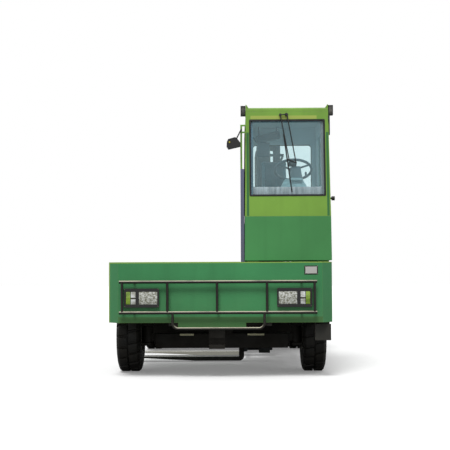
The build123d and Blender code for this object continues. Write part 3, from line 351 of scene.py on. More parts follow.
def painted_rim_highlight(wire):
    """A painted highlight along the top edge of the decks and the corner of the front panel."""
    top = within(wire, 2, 1.229, 1.25) * (facing(wire, 2) < 0.9)
    corner = (axis_of(wire, 0) < -1.2125) * (axis_of(wire, 2) < 1.24) * (facing(wire, 0) > -0.9)
    return (top + corner).ramp(0, 1)


def painted_axle_highlights(wire):
    """Two pale bars painted on the front axle's face as highlights."""
    across = within(wire, 0, -0.503, -0.344) + within(wire, 0, 0.27, 0.46)
    front = (axis_of(wire, 1) < -1.5) * (facing(wire, 1) < -0.9)
    return across * within(wire, 2, 0.408, 0.432) * front


def lit_far_fork(wire):
    """The front side of the rear fork, painted pale as a painted highlight where the light falls on it.
    """
    return (axis_of(wire, 1) > 0) * (facing(wire, 1) < -0.5) * (axis_of(wire, 2) < 0.5)


print("cab leans", round(math.degrees(LEAN_ANGLE), 1), "degrees above", CAB_FOLD, "m")

# %% [markdown]
# ## Worn paint
#
# A work truck's paint is never one colour. The sun fades it in wide soft patches, rain draws
# streaks down it, dust settles low down, and edges chip to bare metal. Faces that look up turn
# paler: worn bare on the forks, and a painted highlight on the tops of the rails. Some paints also
# carry painted light: highlights along edges, and shade or highlights in given places. One
# function makes every paint of the machine, so that all of them wear in the same way.

# %% Paints
FADE = 0.1
ORANGE_PEEL = 500
# The cab's inner faces: a blue-grey trim, painted far paler as light inside the cab.
LIT_LINING = "#d8eaf0"


def paint(name, colour, dust=0.25, chips=0.5, bare="#6f6a60", rough=0.46, coat=0.06, radius=0.006,
          dust_colour="#6b6350", low=0.3, high=1.1, streaks=0.3, lit_lining=None, rim=None, worn_or_lit_top=None,
          scuffed=0.0, patches=()):
    """Worn paint: fade and streak it, dust it low down, pale its tops and chip its edges, and paint
    light and shade where asked.

    Dust thins out from low to high. bare is the metal in a chip. The cab's inner faces take a pale
    blue-grey, painted far paler than their trim as light inside the cab. rim is the colour of a
    painted highlight along edges. Faces that look up take the top colour: worn steel on the forks, a
    painted highlight on the rails. patches are pairs of a mask maker and the colour that it puts on.
    """
    material, wire, shader = start_material(name)
    base = linear(colour)
    soft, edge = rounded_edges(wire, radius)
    faded = pattern(wire, 1.3, 4).ramp(0.35, 0.65)
    rain = pattern(wire, 9, 3, (1, 1, 0.07)).ramp(0.52, 0.75) * streaks
    tone = faded.either(shade(base, 1 - FADE), shade(base, 1 + FADE, 0.001))
    tone = rain.either(tone, shade(base, 0.62))
    for mask, patch_colour in patches:
        tone = mask(wire).either(tone, linear(patch_colour))
    # The cab's inner faces are painted pale, far paler than their trim, as painted light inside the cab.
    if lit_lining:
        tone = inside_cab(wire).either(tone, linear(lit_lining))
    settled = axis_of(wire, 2).ramp(low, high, 1, 0) * pattern(wire, 6, 5).ramp(0.3, 0.7, 0.3, 1) * dust
    tone = settled.either(tone, linear(dust_colour))
    if scuffed:
        marks = pattern(wire, 4, 5, (0.35, 3, 1), 0.7).ramp(0.54, 0.66)
        tone = (marks * (facing(wire, 2) > 0.9) * scuffed).either(tone, linear(bare))
    # Faces that look up turn paler: bare worn steel on the forks, and a painted highlight on the tops of
    # the rails.
    if worn_or_lit_top:
        worn_or_lit_spots = pattern(wire, 14, 4, (0.25, 1, 1)).ramp(0.3, 0.5, 0.35, 1)
        tone = (facing(wire, 2).ramp(0.25, 0.8) * worn_or_lit_spots).either(tone, linear(worn_or_lit_top))
    # A painted highlight along the edges, in the rim colour.
    if rim:
        tone = (edge * 0.6).either(tone, linear(rim))
    worn = edge * (pattern(wire, 38, 4, rough=0.7) > (0.66 - 0.16 * chips)) * (1 if chips else 0)
    tone = worn.either(tone, linear(bare))
    matt = pattern(wire, 5, 3).ramp(0.3, 0.7, rough - 0.07, rough + 0.12) + settled * 0.35
    peel = pattern(wire, ORANGE_PEEL, 1) - worn * 0.6
    feed(shader, Base_Color=tone, Roughness=matt, Normal=raised(peel, 0.12, 0.0006, Normal=soft))
    hold(shader, Specular_IOR_Level=0.35, Coat_Weight=coat, Coat_Roughness=0.25)
    return material


# The deck's painted light: a painted shadow under the lower rail, and painted highlights along its top
# edge and its other edges.
deck_paint = paint("deck_paint", "#3b8752", streaks=0.22, rim="#8fae4e", scuffed=0.5, lit_lining=LIT_LINING,
                   patches=[(painted_rail_shadow, "#3a6a33"), (painted_rim_highlight, "#83a84a")])
base_paint = paint("base_paint", "#448a4d", streaks=0.2, dust=0.15, lit_lining=LIT_LINING)
# The panel's painted light: a painted highlight above the windscreen and painted shade beside it; the
# knob is black.
panel_paint = paint("panel_paint", "#749f3a", streaks=0.18, dust=0.15, lit_lining=LIT_LINING,
                    patches=[(door_knob, "#15140f"), (painted_brow_highlight, "#9cae4e"), (painted_corner_shade, "#2f6a35")])
# The frame's pale patches are painted highlights on the front axle.
frame_paint = paint("frame_paint", "#12110d", dust=0.3, rough=0.65, coat=0, low=0.1, high=1.6,
                    dust_colour="#332d20", bare="#4b463b", patches=[(painted_axle_highlights, "#e6e3bd")])
mast_paint = paint("mast_paint", "#2c3438", dust=0.3, chips=0.8, rough=0.55, coat=0, low=0.1,
                   high=1.6, dust_colour="#4a4438")
# The rails' pale tops are partly worn paint and partly a painted highlight from the light above.
rail_paint = paint("rail_paint", "#14120d", dust=0.1, chips=0.7, bare="#8d8474", radius=0.003,
                   worn_or_lit_top="#c2bca6")
step_paint = paint("step_paint", "#1f201d", dust=0.1, chips=0.8, rough=0.55, coat=0)
# The forks' pale tops are bare worn steel; the far fork's pale front side is a painted highlight.
fork_paint = paint("fork_paint", "#15140f", dust=0.1, chips=0.8, bare="#8d8474", coat=0,
                   worn_or_lit_top="#c8c7c1", patches=[(lit_far_fork, "#a5a398")])
guard_paint = paint("guard_paint", "#5f647c", dust=0.6, dust_colour="#5b5560", low=1.2, high=2.2,
                    coat=0, patches=[(above_plate, "#6f9c45")])
rim_paint = paint("rim_paint", "#7f7e73", dust=0.6, dust_colour="#4a4233", rough=0.6, coat=0)
engine_paint = paint("engine_paint", "#26282a", dust=0.5, chips=0.6, rough=0.6, coat=0)
plate_grey = paint("plate_grey", "#bdbcb8", dust=0, chips=0, streaks=0.15)
print("materials so far, with the packed ones:", len(bpy.data.materials))

# %% [markdown]
# ## Steel, rubber, plastic, glass and cloth
#
# Bare steel takes its look from fine scratches that run one way. Rubber is matt and greys with
# dust. A window is a thin pane: a tinted transparent shader lets the light through, and a small
# share of a glossy one over it gives the reflections and a film of dust.

# %% Other materials
SEAT_X = 0.60
SEAT_PANEL = 0.11
THREADS = 1400


def steel(name, colour, rough=0.28, rust=0.2, stretch=(1, 60, 60)):
    """Bare steel with scratches along one axis and a little rust."""
    material, wire, shader = start_material(name)
    soft, _ = rounded_edges(wire, 0.003)
    scratch = pattern(wire, 6, 4, stretch)
    stain = pattern(wire, 7, 6, rough=0.7).ramp(0.5, 0.72) * rust
    bright = scratch.ramp(0.3, 0.7).either(shade(linear(colour), 0.7), linear(colour))
    feed(shader, Base_Color=stain.either(bright, linear("#4a3423")), Metallic=1 - stain * 0.9,
         Roughness=scratch.ramp(0.3, 0.7, rough, rough + 0.18) + stain * 0.4,
         Normal=raised(scratch, 0.15, 0.0005, Normal=soft))
    return material


def moulded(name, colour, rough=0.5, variation=0.15, strength=0.2, coat=0.0, stretch=(1, 1, 1),
            patches=()):
    """Moulded plastic or rubber: a fine grain, a slightly uneven tone and a painted highlight on the
    edges.
    """
    material, wire, shader = start_material(name)
    soft, edge = rounded_edges(wire, 0.002)
    base = linear(colour)
    uneven = pattern(wire, 11, 4, stretch)
    tone = uneven.ramp(0.3, 0.7).either(shade(base, 1 - variation), shade(base, 1 + variation))
    for mask, patch_colour in patches:
        tone = mask(wire).either(tone, linear(patch_colour))
    # A painted highlight along the edges: they are made paler.
    tone = (edge * 0.4).either(tone, shade(base, 1.5, 0.01))
    feed(shader, Base_Color=tone, Roughness=uneven.ramp(0.3, 0.7, rough - 0.06, rough + 0.1),
         Normal=raised(pattern(wire, 300, 2), strength, 0.0006, Normal=soft))
    hold(shader, Coat_Weight=coat)
    return material


def tyre_rubber():
    """Tyre rubber, with dust in the hollows of a soft noise."""
    material, wire, shader = start_material("tyre_rubber")
    soft, edge = rounded_edges(wire, 0.004)
    dusty = pattern(wire, 5, 6, rough=0.65).ramp(0.42, 0.7) * 0.5 + edge * 0.2
    feed(shader, Base_Color=dusty.either(linear("#0f0f0c"), linear("#2c2820")),
         Roughness=dusty.ramp(0, 1, 0.6, 0.85),
         Normal=raised(pattern(wire, 160, 4), 0.35, 0.001, Normal=soft))
    hold(shader, Specular_IOR_Level=0.3)
    return material


def clear_glass(name, tint, cover):
    """A thin pane: tinted and open, with a share of gloss that grows where it is seen edge on.

    cover is the film of dust on the windscreen alone.
    """
    material, wire, shader = start_material(name)
    hold(shader, Base_Color=(*linear("#b9d3d9"), 1), Roughness=0.05)
    pane = wire.node("ShaderNodeBsdfTransparent", None, {"Color": (*tint, 1)})
    edge_on = wire.node("ShaderNodeLayerWeight", None, {"Blend": 0.2})
    smears = pattern(wire, 3, 4).ramp(0.35, 0.7, 0, 0.04)
    gloss = smears + edge_on * 0.5 + 0.01 + before_screen(wire) * cover
    sockets = {0: gloss, 1: pane, 2: Wire(wire.tree, shader.outputs["BSDF"])}
    mixed = wire.node("ShaderNodeMixShader", None, sockets)
    wire.tree.links.new(mixed.socket, wire.tree.nodes["Material Output"].inputs["Surface"])
    return material


def lens(name, bright, dark, bands=(9, 1, 26), bulb=False):
    """A moulded lamp lens: streaks of the reflector show through it, and on some a dark bulb."""
    material, wire, shader = start_material(name)
    streaks = pattern(wire, 1, 4, bands, 0.6).ramp(0.42, 0.6)
    tone = streaks.either(linear(dark), linear(bright))
    if bulb:
        tone = within(wire, 2, 0.849, 0.866).either(tone, linear("#45423a"))
    feed(shader, Base_Color=tone)
    hold(shader, Roughness=0.18, Coat_Weight=0.4)
    return material


def seat_cloth():
    """Woven seat cloth: two crossed sets of fine threads, with a darker middle panel."""
    material, wire, shader = start_material("seat_cloth")
    places = (axis_of(wire, 0), axis_of(wire, 1) + axis_of(wire, 2))
    across, along = (place.math("SINE", place * THREADS) for place in places)
    weave = (across * along).ramp(-1, 1)
    worn = pattern(wire, 9, 5).ramp(0.35, 0.7)
    middle = within(wire, 0, SEAT_X - SEAT_PANEL, SEAT_X + SEAT_PANEL)
    sides = worn.either(linear("#56808f"), linear("#6b94a1"))
    tone = middle.either(sides, worn.either(linear("#3e5f6c"), linear("#50737f")))
    tone = (weave * 0.35).either(tone, linear("#2c444e"))
    feed(shader, Base_Color=tone, Normal=raised(weave, 0.4, 0.0008))
    hold(shader, Roughness=0.85, Sheen_Weight=0.3)
    return material


def instrument_pod(wire):
    """The pod above the dash, which is darker than the column's cover."""
    return axis_of(wire, 2) > 2.17


bare_steel = steel("bare_steel", "#b9b5aa")
rod_steel = steel("rod_steel", "#d5d6d6", rough=0.12, rust=0.0, stretch=(60, 60, 1))
dark_steel = steel("dark_steel", "#6b665c", rough=0.4, rust=0.35)
mirror_silver = steel("mirror_silver", "#e4e8ea", rough=0.04, rust=0.0)
black_plastic = moulded("black_plastic", "#141414")
black_rubber = moulded("black_rubber", "#121212", 0.7, strength=0.35)
cab_plastic = moulded("cab_plastic", "#a3c2c9", 0.38, 0.25, coat=0.3, stretch=(1, 1, 4),
                      patches=[(instrument_pod, "#48626c")])
shelf_plastic = moulded("shelf_plastic", "#cfc2c6", 0.45, 0.45, coat=0.2, stretch=(3, 1, 0.4))
wheel_plastic = moulded("wheel_plastic", "#37525d", 0.4, coat=0.2)
trim_blue = moulded("trim_blue", "#3a6b86")
trim_grey = moulded("trim_grey", "#857b7b", 0.5, 0.3, stretch=(3, 1, 0.3))
console_plastic = moulded("console_plastic", "#3f5964")
yellow_plastic = moulded("yellow_plastic", "#c9bd1e", 0.35)
clear_lens = lens("clear_lens", "#dfe3e2", "#a8a89e", bulb=True)
head_lens = lens("head_lens", "#d3d6d0", "#7a7a68", (55, 1, 80))
green_lens = lens("green_lens", "#93b43d", "#6f8f2c")
red_lens = lens("red_lens", "#a3231c", "#6d1410")
smoked_lens = lens("smoked_lens", "#55544b", "#34342e")
amber_lens = lens("amber_lens", "#c8741a", "#8a4c10")
tyre_material = tyre_rubber()
seat_material = seat_cloth()
window_glass = clear_glass("window_glass", (0.925, 0.99, 0.995), 0.1)
print("materials:", len(bpy.data.materials))

# %% [markdown]
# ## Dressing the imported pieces
#
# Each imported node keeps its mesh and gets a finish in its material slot. The list is kept by
# finish, so that a piece can be moved to another one in a single place.

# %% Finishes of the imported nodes
FINISHES = {
    deck_paint: ["front_deck", "rear_deck", "engine_hood"],
    base_paint: ["cab_base"],
    panel_paint: ["cab_front_panel", "cab_back_panel", "cab_side_panel", "cab_roof", "cab_door"],
    frame_paint: ["frames", "well_rails", "side_beam", "front_axle", "rear_axle", "left_knuckle",
                  "right_knuckle", "reach_carriage"],
    mast_paint: ["outer_mast", "inner_mast", "fork_carriage", "tilt_barrels"],
    rail_paint: ["guards"],
    step_paint: ["cab_step", "tanks"],
    fork_paint: ["forks"],
    guard_paint: ["load_guard"],
    engine_paint: ["engine_block"],
    black_plastic: ["lamp_housings", "mirror_arm", "wiper", "seat_base"],
    black_rubber: ["windscreen_seal"],
    cab_plastic: ["dash"],
    wheel_plastic: ["steering_wheel"],
    window_glass: ["cab_glass", "door_glass"],
    dark_steel: ["lift_chains"],
    rod_steel: ["tilt_rods"],
    rim_paint: [name for name in nodes if name.endswith("_rim")],
}
for material, names in FINISHES.items():
    for name in names:
        slots = nodes[name].data.materials
        slots.clear()
        slots.append(material)
print("dressed nodes:", sum(len(names) for names in FINISHES.values()))

# %% [markdown]
# ## Helpers for new pieces
#
# Every new piece starts in a bmesh, from one of its own create or spin operators, and is then
# placed by a matrix in the machine's frame. Smooth shading stops at sharp folds.

# %% Helpers
FOLD_ANGLE = math.radians(35)
SEAL_RADIUS = 0.009
CORNER_STEPS = 6


def finish_piece(mesh, name, body, material, replaces=()):
    """Make an object of a bmesh, shade it, and let it ride on a body."""
    bmesh.ops.remove_doubles(mesh, verts=mesh.verts, dist=1e-6)
    bmesh.ops.recalc_face_normals(mesh, faces=mesh.faces)
    data = bpy.data.meshes.new(name)
    mesh.to_mesh(data)
    mesh.free()
    data.materials.append(material)
    data.shade_smooth()
    data.set_sharp_from_angle(angle=FOLD_ANGLE)
    piece = bpy.data.objects.new(name, data)
    scene.collection.objects.link(piece)
    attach(piece, body)
    if replaces:
        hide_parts(*replaces)


def add_box(mesh, low, high, bevel, segments=2, turn=None):
    """Add a box between two corners, with rounded edges; turn is a matrix about its middle."""
    low, high = Vector(low), Vector(high)
    made = bmesh.ops.create_cube(mesh, size=1)["verts"]
    middle, size = (low + high) / 2, high - low
    place = Matrix.Translation(middle) @ (turn or Matrix()) @ Matrix.Diagonal((*size, 1))
    bmesh.ops.transform(mesh, matrix=place, verts=made)
    edges = list({edge for vert in made for edge in vert.link_edges})
    bmesh.ops.bevel(mesh, geom=edges, offset=bevel, segments=segments, affect="EDGES",
                    profile=0.5, material=-1)


def add_rod(mesh, start, end, radius, segments=16, end_radius=None):
    """Add a round bar or a cone between two points."""
    start, end = Vector(start), Vector(end)
    run = end - start
    turn = run.to_track_quat("Z", "Y").to_matrix().to_4x4()
    bmesh.ops.create_cone(mesh, cap_ends=True, segments=segments, radius1=radius,
                          radius2=radius if end_radius is None else end_radius, depth=run.length,
                          matrix=Matrix.Translation((start + end) / 2) @ turn)


def add_lathe(mesh, profile, centre, axis, steps, closed=True):
    """Spin a profile of (distance along the axis, radius) pairs about an axis through a point."""
    axis = Vector(axis).normalized()
    side = axis.orthogonal().normalized()
    centre = Vector(centre)
    verts = [mesh.verts.new(centre + axis * along + side * radius) for along, radius in profile]
    pairs = list(zip(verts, verts[1:])) + ([(verts[-1], verts[0])] if closed else [])
    edges = [mesh.edges.new(pair) for pair in pairs]
    bmesh.ops.spin(mesh, geom=verts + edges, cent=centre, axis=axis, angle=math.tau, steps=steps,
                   use_merge=True)


def add_nut(mesh, place, axis, size, height):
    """A hexagon nut on a washer, with the end of its stud."""
    place, axis = Vector(place), Vector(axis).normalized()
    add_rod(mesh, place, place + axis * height * 0.2, size * 0.72, 18)
    add_rod(mesh, place + axis * height * 0.2, place + axis * height, size * 0.58, 6)
    add_rod(mesh, place + axis * height, place + axis * height * 1.5, size * 0.3, 10)


def add_screw(mesh, place, axis, radius):
    """A low round screw head with a bevelled rim."""
    place, axis = Vector(place), Vector(axis).normalized()
    add_rod(mesh, place, place + axis * radius * 0.3, radius, 14)
    add_rod(mesh, place + axis * radius * 0.3, place + axis * radius * 0.7, radius, 14, radius * 0.6)


def add_seal(name, points, body):
    """A round rubber bead on a closed curve through points."""
    curve = bpy.data.curves.new(name, "CURVE")
    curve.dimensions = "3D"
    curve.bevel_depth = SEAL_RADIUS
    curve.bevel_resolution = 2
    line = curve.splines.new("POLY")
    line.points.add(len(points) - 1)
    for point, place in zip(line.points, points):
        point.co = (*place, 1)
    line.use_cyclic_u = True
    line.use_smooth = True
    curve.materials.append(black_rubber)
    piece = bpy.data.objects.new(name, curve)
    scene.collection.objects.link(piece)
    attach(piece, body)


def opening(low, high, corner):
    """Points round a rectangle with round corners: low and high are two of its corners."""
    points = []
    corners = (high, (low[0], high[1]), low, (high[0], low[1]))
    for number, (x, y) in enumerate(corners):
        middle_x = x + (corner if x == low[0] else -corner)
        middle_y = y + (corner if y == low[1] else -corner)
        for step in range(CORNER_STEPS + 1):
            angle = (number + step / CORNER_STEPS) * math.pi / 2
            points.append((middle_x + corner * math.cos(angle), middle_y + corner * math.sin(angle)))
    return points


print("points round an opening:", len(opening((0, 0), (1, 1), 0.1)))

# %% [markdown]
# ## Tyres
#
# An industrial tyre has a deep block tread: wide lugs run in from each shoulder and meet nearly
# at the middle, one side half a step ahead of the other. The carcass is one spun profile. One
# lug is modelled as a bevelled block, cut across where the shoulder folds, and lowered along the
# tyre's section. A turned copy stands at every step.

# %% Tyres
WHEELS = ("front_left", "front_right", "rear_left", "rear_right")
TREAD_STEPS = 20
GROOVE_DEPTH = 0.026
LUG_WIDTH = 0.1
LUG_ROOT = 0.05
LUG_SKEW = 0.22
FLOOR_GAP = 0.0003
SHOULDER = ((0.0, 0.0), (0.72, 0.0), (0.86, 0.018), (0.95, 0.05), (1.0, 0.09))
SIDEWALL = ((0.02, 0.228), (0.004, 0.22), (0.001, 0.15))


def shoulder_drop(share):
    """How far the tyre's section lies below its tread, at a share of its half width."""
    for (near, high), (far, low) in zip(SHOULDER, SHOULDER[1:]):
        if share <= far:
            return high + (low - high) * (share - near) / (far - near)
    return SHOULDER[-1][1]


def tread_lug(half, radius):
    """One lug of the right shoulder, at the top of a tyre that turns about X."""
    lug = bmesh.new()
    add_box(lug, (half * 0.06, -LUG_WIDTH / 2, radius - LUG_ROOT),
            (half - 0.001, LUG_WIDTH / 2, radius), 0.005)
    for share, _ in SHOULDER[1:-1]:
        bmesh.ops.bisect_plane(lug, geom=lug.verts[:] + lug.edges[:] + lug.faces[:], dist=1e-5,
                               plane_co=(half * share, 0, 0), plane_no=(1, 0, 0))
    for vert in lug.verts:
        share = vert.co.x / half
        vert.co.y += LUG_SKEW * (vert.co.x - half / 2) * (1 - share * 0.4)
        vert.co.z -= shoulder_drop(share) + vert.co.y ** 2 / (2 * radius) + FLOOR_GAP
    return lug


low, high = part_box("front_left_tyre")
half = (high.x - low.x) / 2
radius = (high.z - low.z) / 2
groove = radius - GROOVE_DEPTH
tyre = bmesh.new()
profile = [(-half + inset, radius - drop) for inset, drop in SIDEWALL]
profile += [(-half * share + 0.003, groove - drop * 0.9) for share, drop in reversed(SHOULDER[1:])]
profile += [(-along, reach) for along, reach in reversed(profile)]
add_lathe(tyre, profile, (0, 0, 0), (1, 0, 0), 80)
lug = tread_lug(half, radius)
block = bpy.data.meshes.new("lug")
lug.to_mesh(block)
lug.free()
for side in (0, 1):
    half_turn = Matrix.Rotation(math.pi * side, 4, "Z")
    for step in range(TREAD_STEPS):
        made = len(tyre.verts)
        tyre.from_mesh(block)
        turn = Matrix.Rotation(math.tau * (step + side / 2) / TREAD_STEPS, 4, "X")
        bmesh.ops.transform(tyre, matrix=turn @ half_turn, verts=tyre.verts[made:])
for name in WHEELS:
    low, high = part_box(name + "_tyre")
    mesh = tyre.copy()
    bmesh.ops.translate(mesh, vec=(low + high) / 2, verts=mesh.verts)
    finish_piece(mesh, name + "_tread", name + "_wheel", tyre_material, [name + "_tyre"])
tyre.free()
print("tyres:", len(WHEELS), "with", 2 * TREAD_STEPS, "lugs each")

# %% [markdown]
# ## Wheel nuts
#
# Eight nuts hold each rim. Each stands on its washer, on a circle round the hub, and a valve
# stem comes out near the rim's edge.

# %% Wheel nuts and valves
NUTS = 8
NUT_CIRCLE = 0.099
NUT_OUT = 0.07
VALVE_UP = 0.15
for name in WHEELS:
    low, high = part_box(name + "_rim")
    centre = (low + high) / 2
    side = 1 if "right" in name else -1
    mesh = bmesh.new()
    for step in range(NUTS):
        angle = math.tau * step / NUTS
        spot = Vector((side * NUT_OUT, NUT_CIRCLE * math.cos(angle), NUT_CIRCLE * math.sin(angle)))
        add_nut(mesh, centre + spot, (side, 0, 0), 0.016, 0.022)
    stem = centre + Vector((side * 0.064, 0, VALVE_UP))
    add_rod(mesh, stem, stem + Vector((side * 0.035, 0, 0)), 0.006, 10)
    finish_piece(mesh, name + "_nuts", name + "_wheel", dark_steel)
print("wheel nuts:", NUTS * len(WHEELS))

# %% [markdown]
# ## Lamps
#
# Each housing on an end panel holds three lenses: a wide one and two narrow ones outside it. A
# lens is a moulded block whose face carries upright flutes, so a row of flat ribs is set on it.
# The rear lamps have the same moulds in red and amber.

# %% Lamp lenses
PANEL_Y = 2.578
LAMP_Z = 0.861
LAMP_X = (-0.862, 0.766)
LAMP_CELLS = ((0.071, 0.196, 0.137, 14), (-0.088, 0.052, 0.137, 5), (-0.141, 0.046, 0.137, 5))
LENS_DEPTHS = (0.0265, 0.036)
RIB_DEPTHS = (0.035, 0.0385)
LENS_RIM = 0.006


def add_lamp_block(mesh, end, x, half_width, half_height, depths, bevel):
    """A bevelled block on an end panel, at the lamps' height and between two depths."""
    near, far = sorted(end * (PANEL_Y + depth) for depth in depths)
    add_box(mesh, (x - half_width, near, LAMP_Z - half_height),
            (x + half_width, far, LAMP_Z + half_height), bevel)


def add_lens(mesh, x, end, width, height, ribs):
    """A lens with upright ribs on its face."""
    add_lamp_block(mesh, end, x, width / 2, height / 2, LENS_DEPTHS, 0.003)
    pitch = (width - 2 * LENS_RIM) / ribs
    for rib in range(ribs):
        middle = x - width / 2 + LENS_RIM + pitch * (rib + 0.5)
        add_lamp_block(mesh, end, middle, pitch * 0.42, height / 2 - LENS_RIM, RIB_DEPTHS, 0.0015)


LENS_SETS = {-1: (head_lens, clear_lens, green_lens), 1: (red_lens, clear_lens, amber_lens)}
END_NAMES = {-1: "front", 1: "rear"}
LENS_NAMES = ("main", "middle", "outer")
for end, finishes in LENS_SETS.items():
    for (inward, width, height, ribs), material, part in zip(LAMP_CELLS, finishes, LENS_NAMES):
        mesh = bmesh.new()
        for x, side in zip(LAMP_X, (-1, 1)):
            add_lens(mesh, x - side * inward, end, width, height, ribs)
        finish_piece(mesh, f"{END_NAMES[end]}_lens_{part}", "chassis", material, ["lamp_lenses"])
print("lenses:", 4 * len(LAMP_CELLS))

# %% [markdown]
# ## Lamp screws and work lamps
#
# A screw sits in each corner of a lamp's housing. The two work lamps at the roof's corners have
# a smoked lens inside a ring of four bars.

# %% Lamp screws and the work lamps' lenses
SCREWS_OUT = (-0.178, 0.178)
SCREWS_UP = (-0.09, 0.09)
WORK_LAMPS = ((0.2291, -2.3656, 2.894), (1.185, -2.3652, 2.898))
RING_BARS = (((-0.025, -0.05), (-0.019, 0.05)), ((0.019, -0.05), (0.025, 0.05)),
             ((-0.019, -0.05), (0.019, -0.042)), ((-0.019, 0.042), (0.019, 0.05)))
mesh = bmesh.new()
for end in (-1, 1):
    for x in LAMP_X:
        for across in SCREWS_OUT:
            for up in SCREWS_UP:
                spot = (x + across, end * (PANEL_Y + 0.0398), LAMP_Z + up)
                add_screw(mesh, spot, (0, end, 0), 0.005)
finish_piece(mesh, "lamp_screws", "chassis", dark_steel)
mesh = bmesh.new()
rings = bmesh.new()
for x, y, z in WORK_LAMPS:
    add_box(mesh, (x - 0.019, y - 0.004, z - 0.04), (x + 0.019, y, z + 0.04), 0.003)
    for low, high in RING_BARS:
        add_box(rings, (x + low[0], y - 0.007, z + low[1]), (x + high[0], y, z + high[1]), 0.0015, 1)
finish_piece(mesh, "work_lamp_lenses", "chassis", smoked_lens)
finish_piece(rings, "work_lamp_rings", "chassis", black_plastic)
print("work lamps:", len(WORK_LAMPS))

# %% [markdown]
# ## The blank plate
#
# A small plate is riveted to the end panel beside the step: a dark border with a lighter,
# slightly raised field, and a rivet in each corner.

# %% Blank plate
PLATE_X = (0.872, 1.018)
PLATE_Z = (1.103, 1.199)
PLATE_BORDER = 0.011
RIVET_IN = 0.006


def add_plate(name, inset, depths, material):
    """A thin flat plate on the front panel, inset from the outline on all sides."""
    mesh = bmesh.new()
    add_box(mesh, (PLATE_X[0] + inset, -PANEL_Y - depths[1], PLATE_Z[0] + inset),
            (PLATE_X[1] - inset, -PANEL_Y - depths[0], PLATE_Z[1] - inset), 0.0006, 1)
    finish_piece(mesh, name, "chassis", material)


add_plate("plate_border", 0, (0, 0.0015), step_paint)
add_plate("blank_plate", PLATE_BORDER, (0.001, 0.003), plate_grey)
mesh = bmesh.new()
for x in (PLATE_X[0] + RIVET_IN, PLATE_X[1] - RIVET_IN):
    for z in (PLATE_Z[0] + RIVET_IN, PLATE_Z[1] - RIVET_IN):
        add_screw(mesh, (x, -PANEL_Y - 0.0015, z), (0, -1, 0), 0.0035)
finish_piece(mesh, "plate_rivets", "chassis", bare_steel)
print("plate:", round(PLATE_X[1] - PLATE_X[0], 3), "by", round(PLATE_Z[1] - PLATE_Z[0], 3), "m")

# %% [markdown]
# ## Window seals
#
# Every pane sits in a rubber seal whose lip stands proud of the sheet metal. A round bead on a
# closed curve follows each opening, and its height gives the place on the leaning cab sides.

# %% Window seals
SIDE_SEALS = (("side_window_seal", -1, "chassis", (-2.24, 1.81), (-1.12, 2.74)),
              ("door_window_seal", 1, "door", (-2.23, 1.86), (-1.13, 2.74)))
REAR_WINDOW = ((0.347, 1.8), (1.067, 2.678))
WINDOW_CORNER = 0.04


def cab_side(side, z):
    """X of the cab's side wall at a height."""
    return 0.707 + side * (0.468 - 0.018 * (z - 1.255) / 1.67)


for name, side, body, low, high in SIDE_SEALS:
    add_seal(name, [(cab_side(side, z), y, z) for y, z in opening(low, high, WINDOW_CORNER)], body)
rear_points = [(x, CAB_Y[1], z) for x, z in opening(*REAR_WINDOW, WINDOW_CORNER)]
add_seal("rear_window_seal", rear_points, "chassis")
print("seals:", len(SIDE_SEALS) + 1)

# %% [markdown]
# ## Windscreen trim
#
# Inside the windscreen a folded trim hides the edge of the glass: narrow above and at the load
# side, and wide at the door side, where it covers the pillar. Each strip is a bevelled bar that
# leans with the screen. A black grab strip stands on the corner beside the door.

# %% Windscreen trim
SCREEN_Z = (1.952, 2.79)
TRIM_IN = 0.036
TRIM_THICK = 0.008
SCREEN_LEAN = Matrix.Rotation(-LEAN_ANGLE, 4, "X")


def screen_y(z):
    """Y of the cab's leaning front at a height above its fold."""
    return CAB_Y[0] + (z - CAB_FOLD) * CAB_LEAN


def add_strip(mesh, x_low, x_high, z_low, z_high):
    """A trim bar behind the windscreen, between two widths and two heights."""
    y = screen_y((z_low + z_high) / 2) + TRIM_IN
    near, far = y - TRIM_THICK / 2, y + TRIM_THICK / 2
    add_box(mesh, (x_low, near, z_low), (x_high, far, z_high), 0.002, 2, SCREEN_LEAN)


mesh = bmesh.new()
add_strip(mesh, 0.3, 0.334, *SCREEN_Z)
add_strip(mesh, 0.334, 1.072, 2.764, SCREEN_Z[1])
finish_piece(mesh, "screen_trim", "chassis", trim_blue)
mesh = bmesh.new()
add_strip(mesh, 1.074, 1.114, *SCREEN_Z)
finish_piece(mesh, "pillar_trim", "chassis", trim_grey)
mesh = bmesh.new()
add_box(mesh, (1.155, -2.392, 2.62), (1.174, -2.366, 2.84), 0.004)
finish_piece(mesh, "grab_strip", "chassis", black_rubber)
print("screen trim from", SCREEN_Z[0], "to", SCREEN_Z[1], "m")

# %% [markdown]
# ## Wiper spindles
#
# Each wiper arm turns on a spindle that comes out through the sheet above the windscreen, and a
# link ties the two arms. A nut on each spindle holds its arm.

# %% Wiper spindles
SPINDLES = ((0.6346, 2.842), (0.701, 2.847))
SPINDLE_SIZES = (0.012, 0.018)
SPINDLE_OUT = 0.026
mesh = bmesh.new()
for (x, z), size in zip(SPINDLES, SPINDLE_SIZES):
    y = screen_y(z)
    add_rod(mesh, (x, y + 0.001, z), (x, y - SPINDLE_OUT, z), size, 20, size * 0.85)
    add_nut(mesh, (x, y - SPINDLE_OUT, z), (0, -1, 0), 0.009, 0.008)
link = [Vector((x, screen_y(z) - 0.02, z)) for x, z in SPINDLES]
add_rod(mesh, *link, 0.006, 12)
finish_piece(mesh, "wiper_spindles", "chassis", black_plastic)
print("link between the spindles:", round((link[1] - link[0]).length, 3), "m")

# %% [markdown]
# ## Mirror
#
# The mirror's shell comes from the solids. Its glass is set in the face that looks at the
# driver, and the front carries a small yellow reflector.

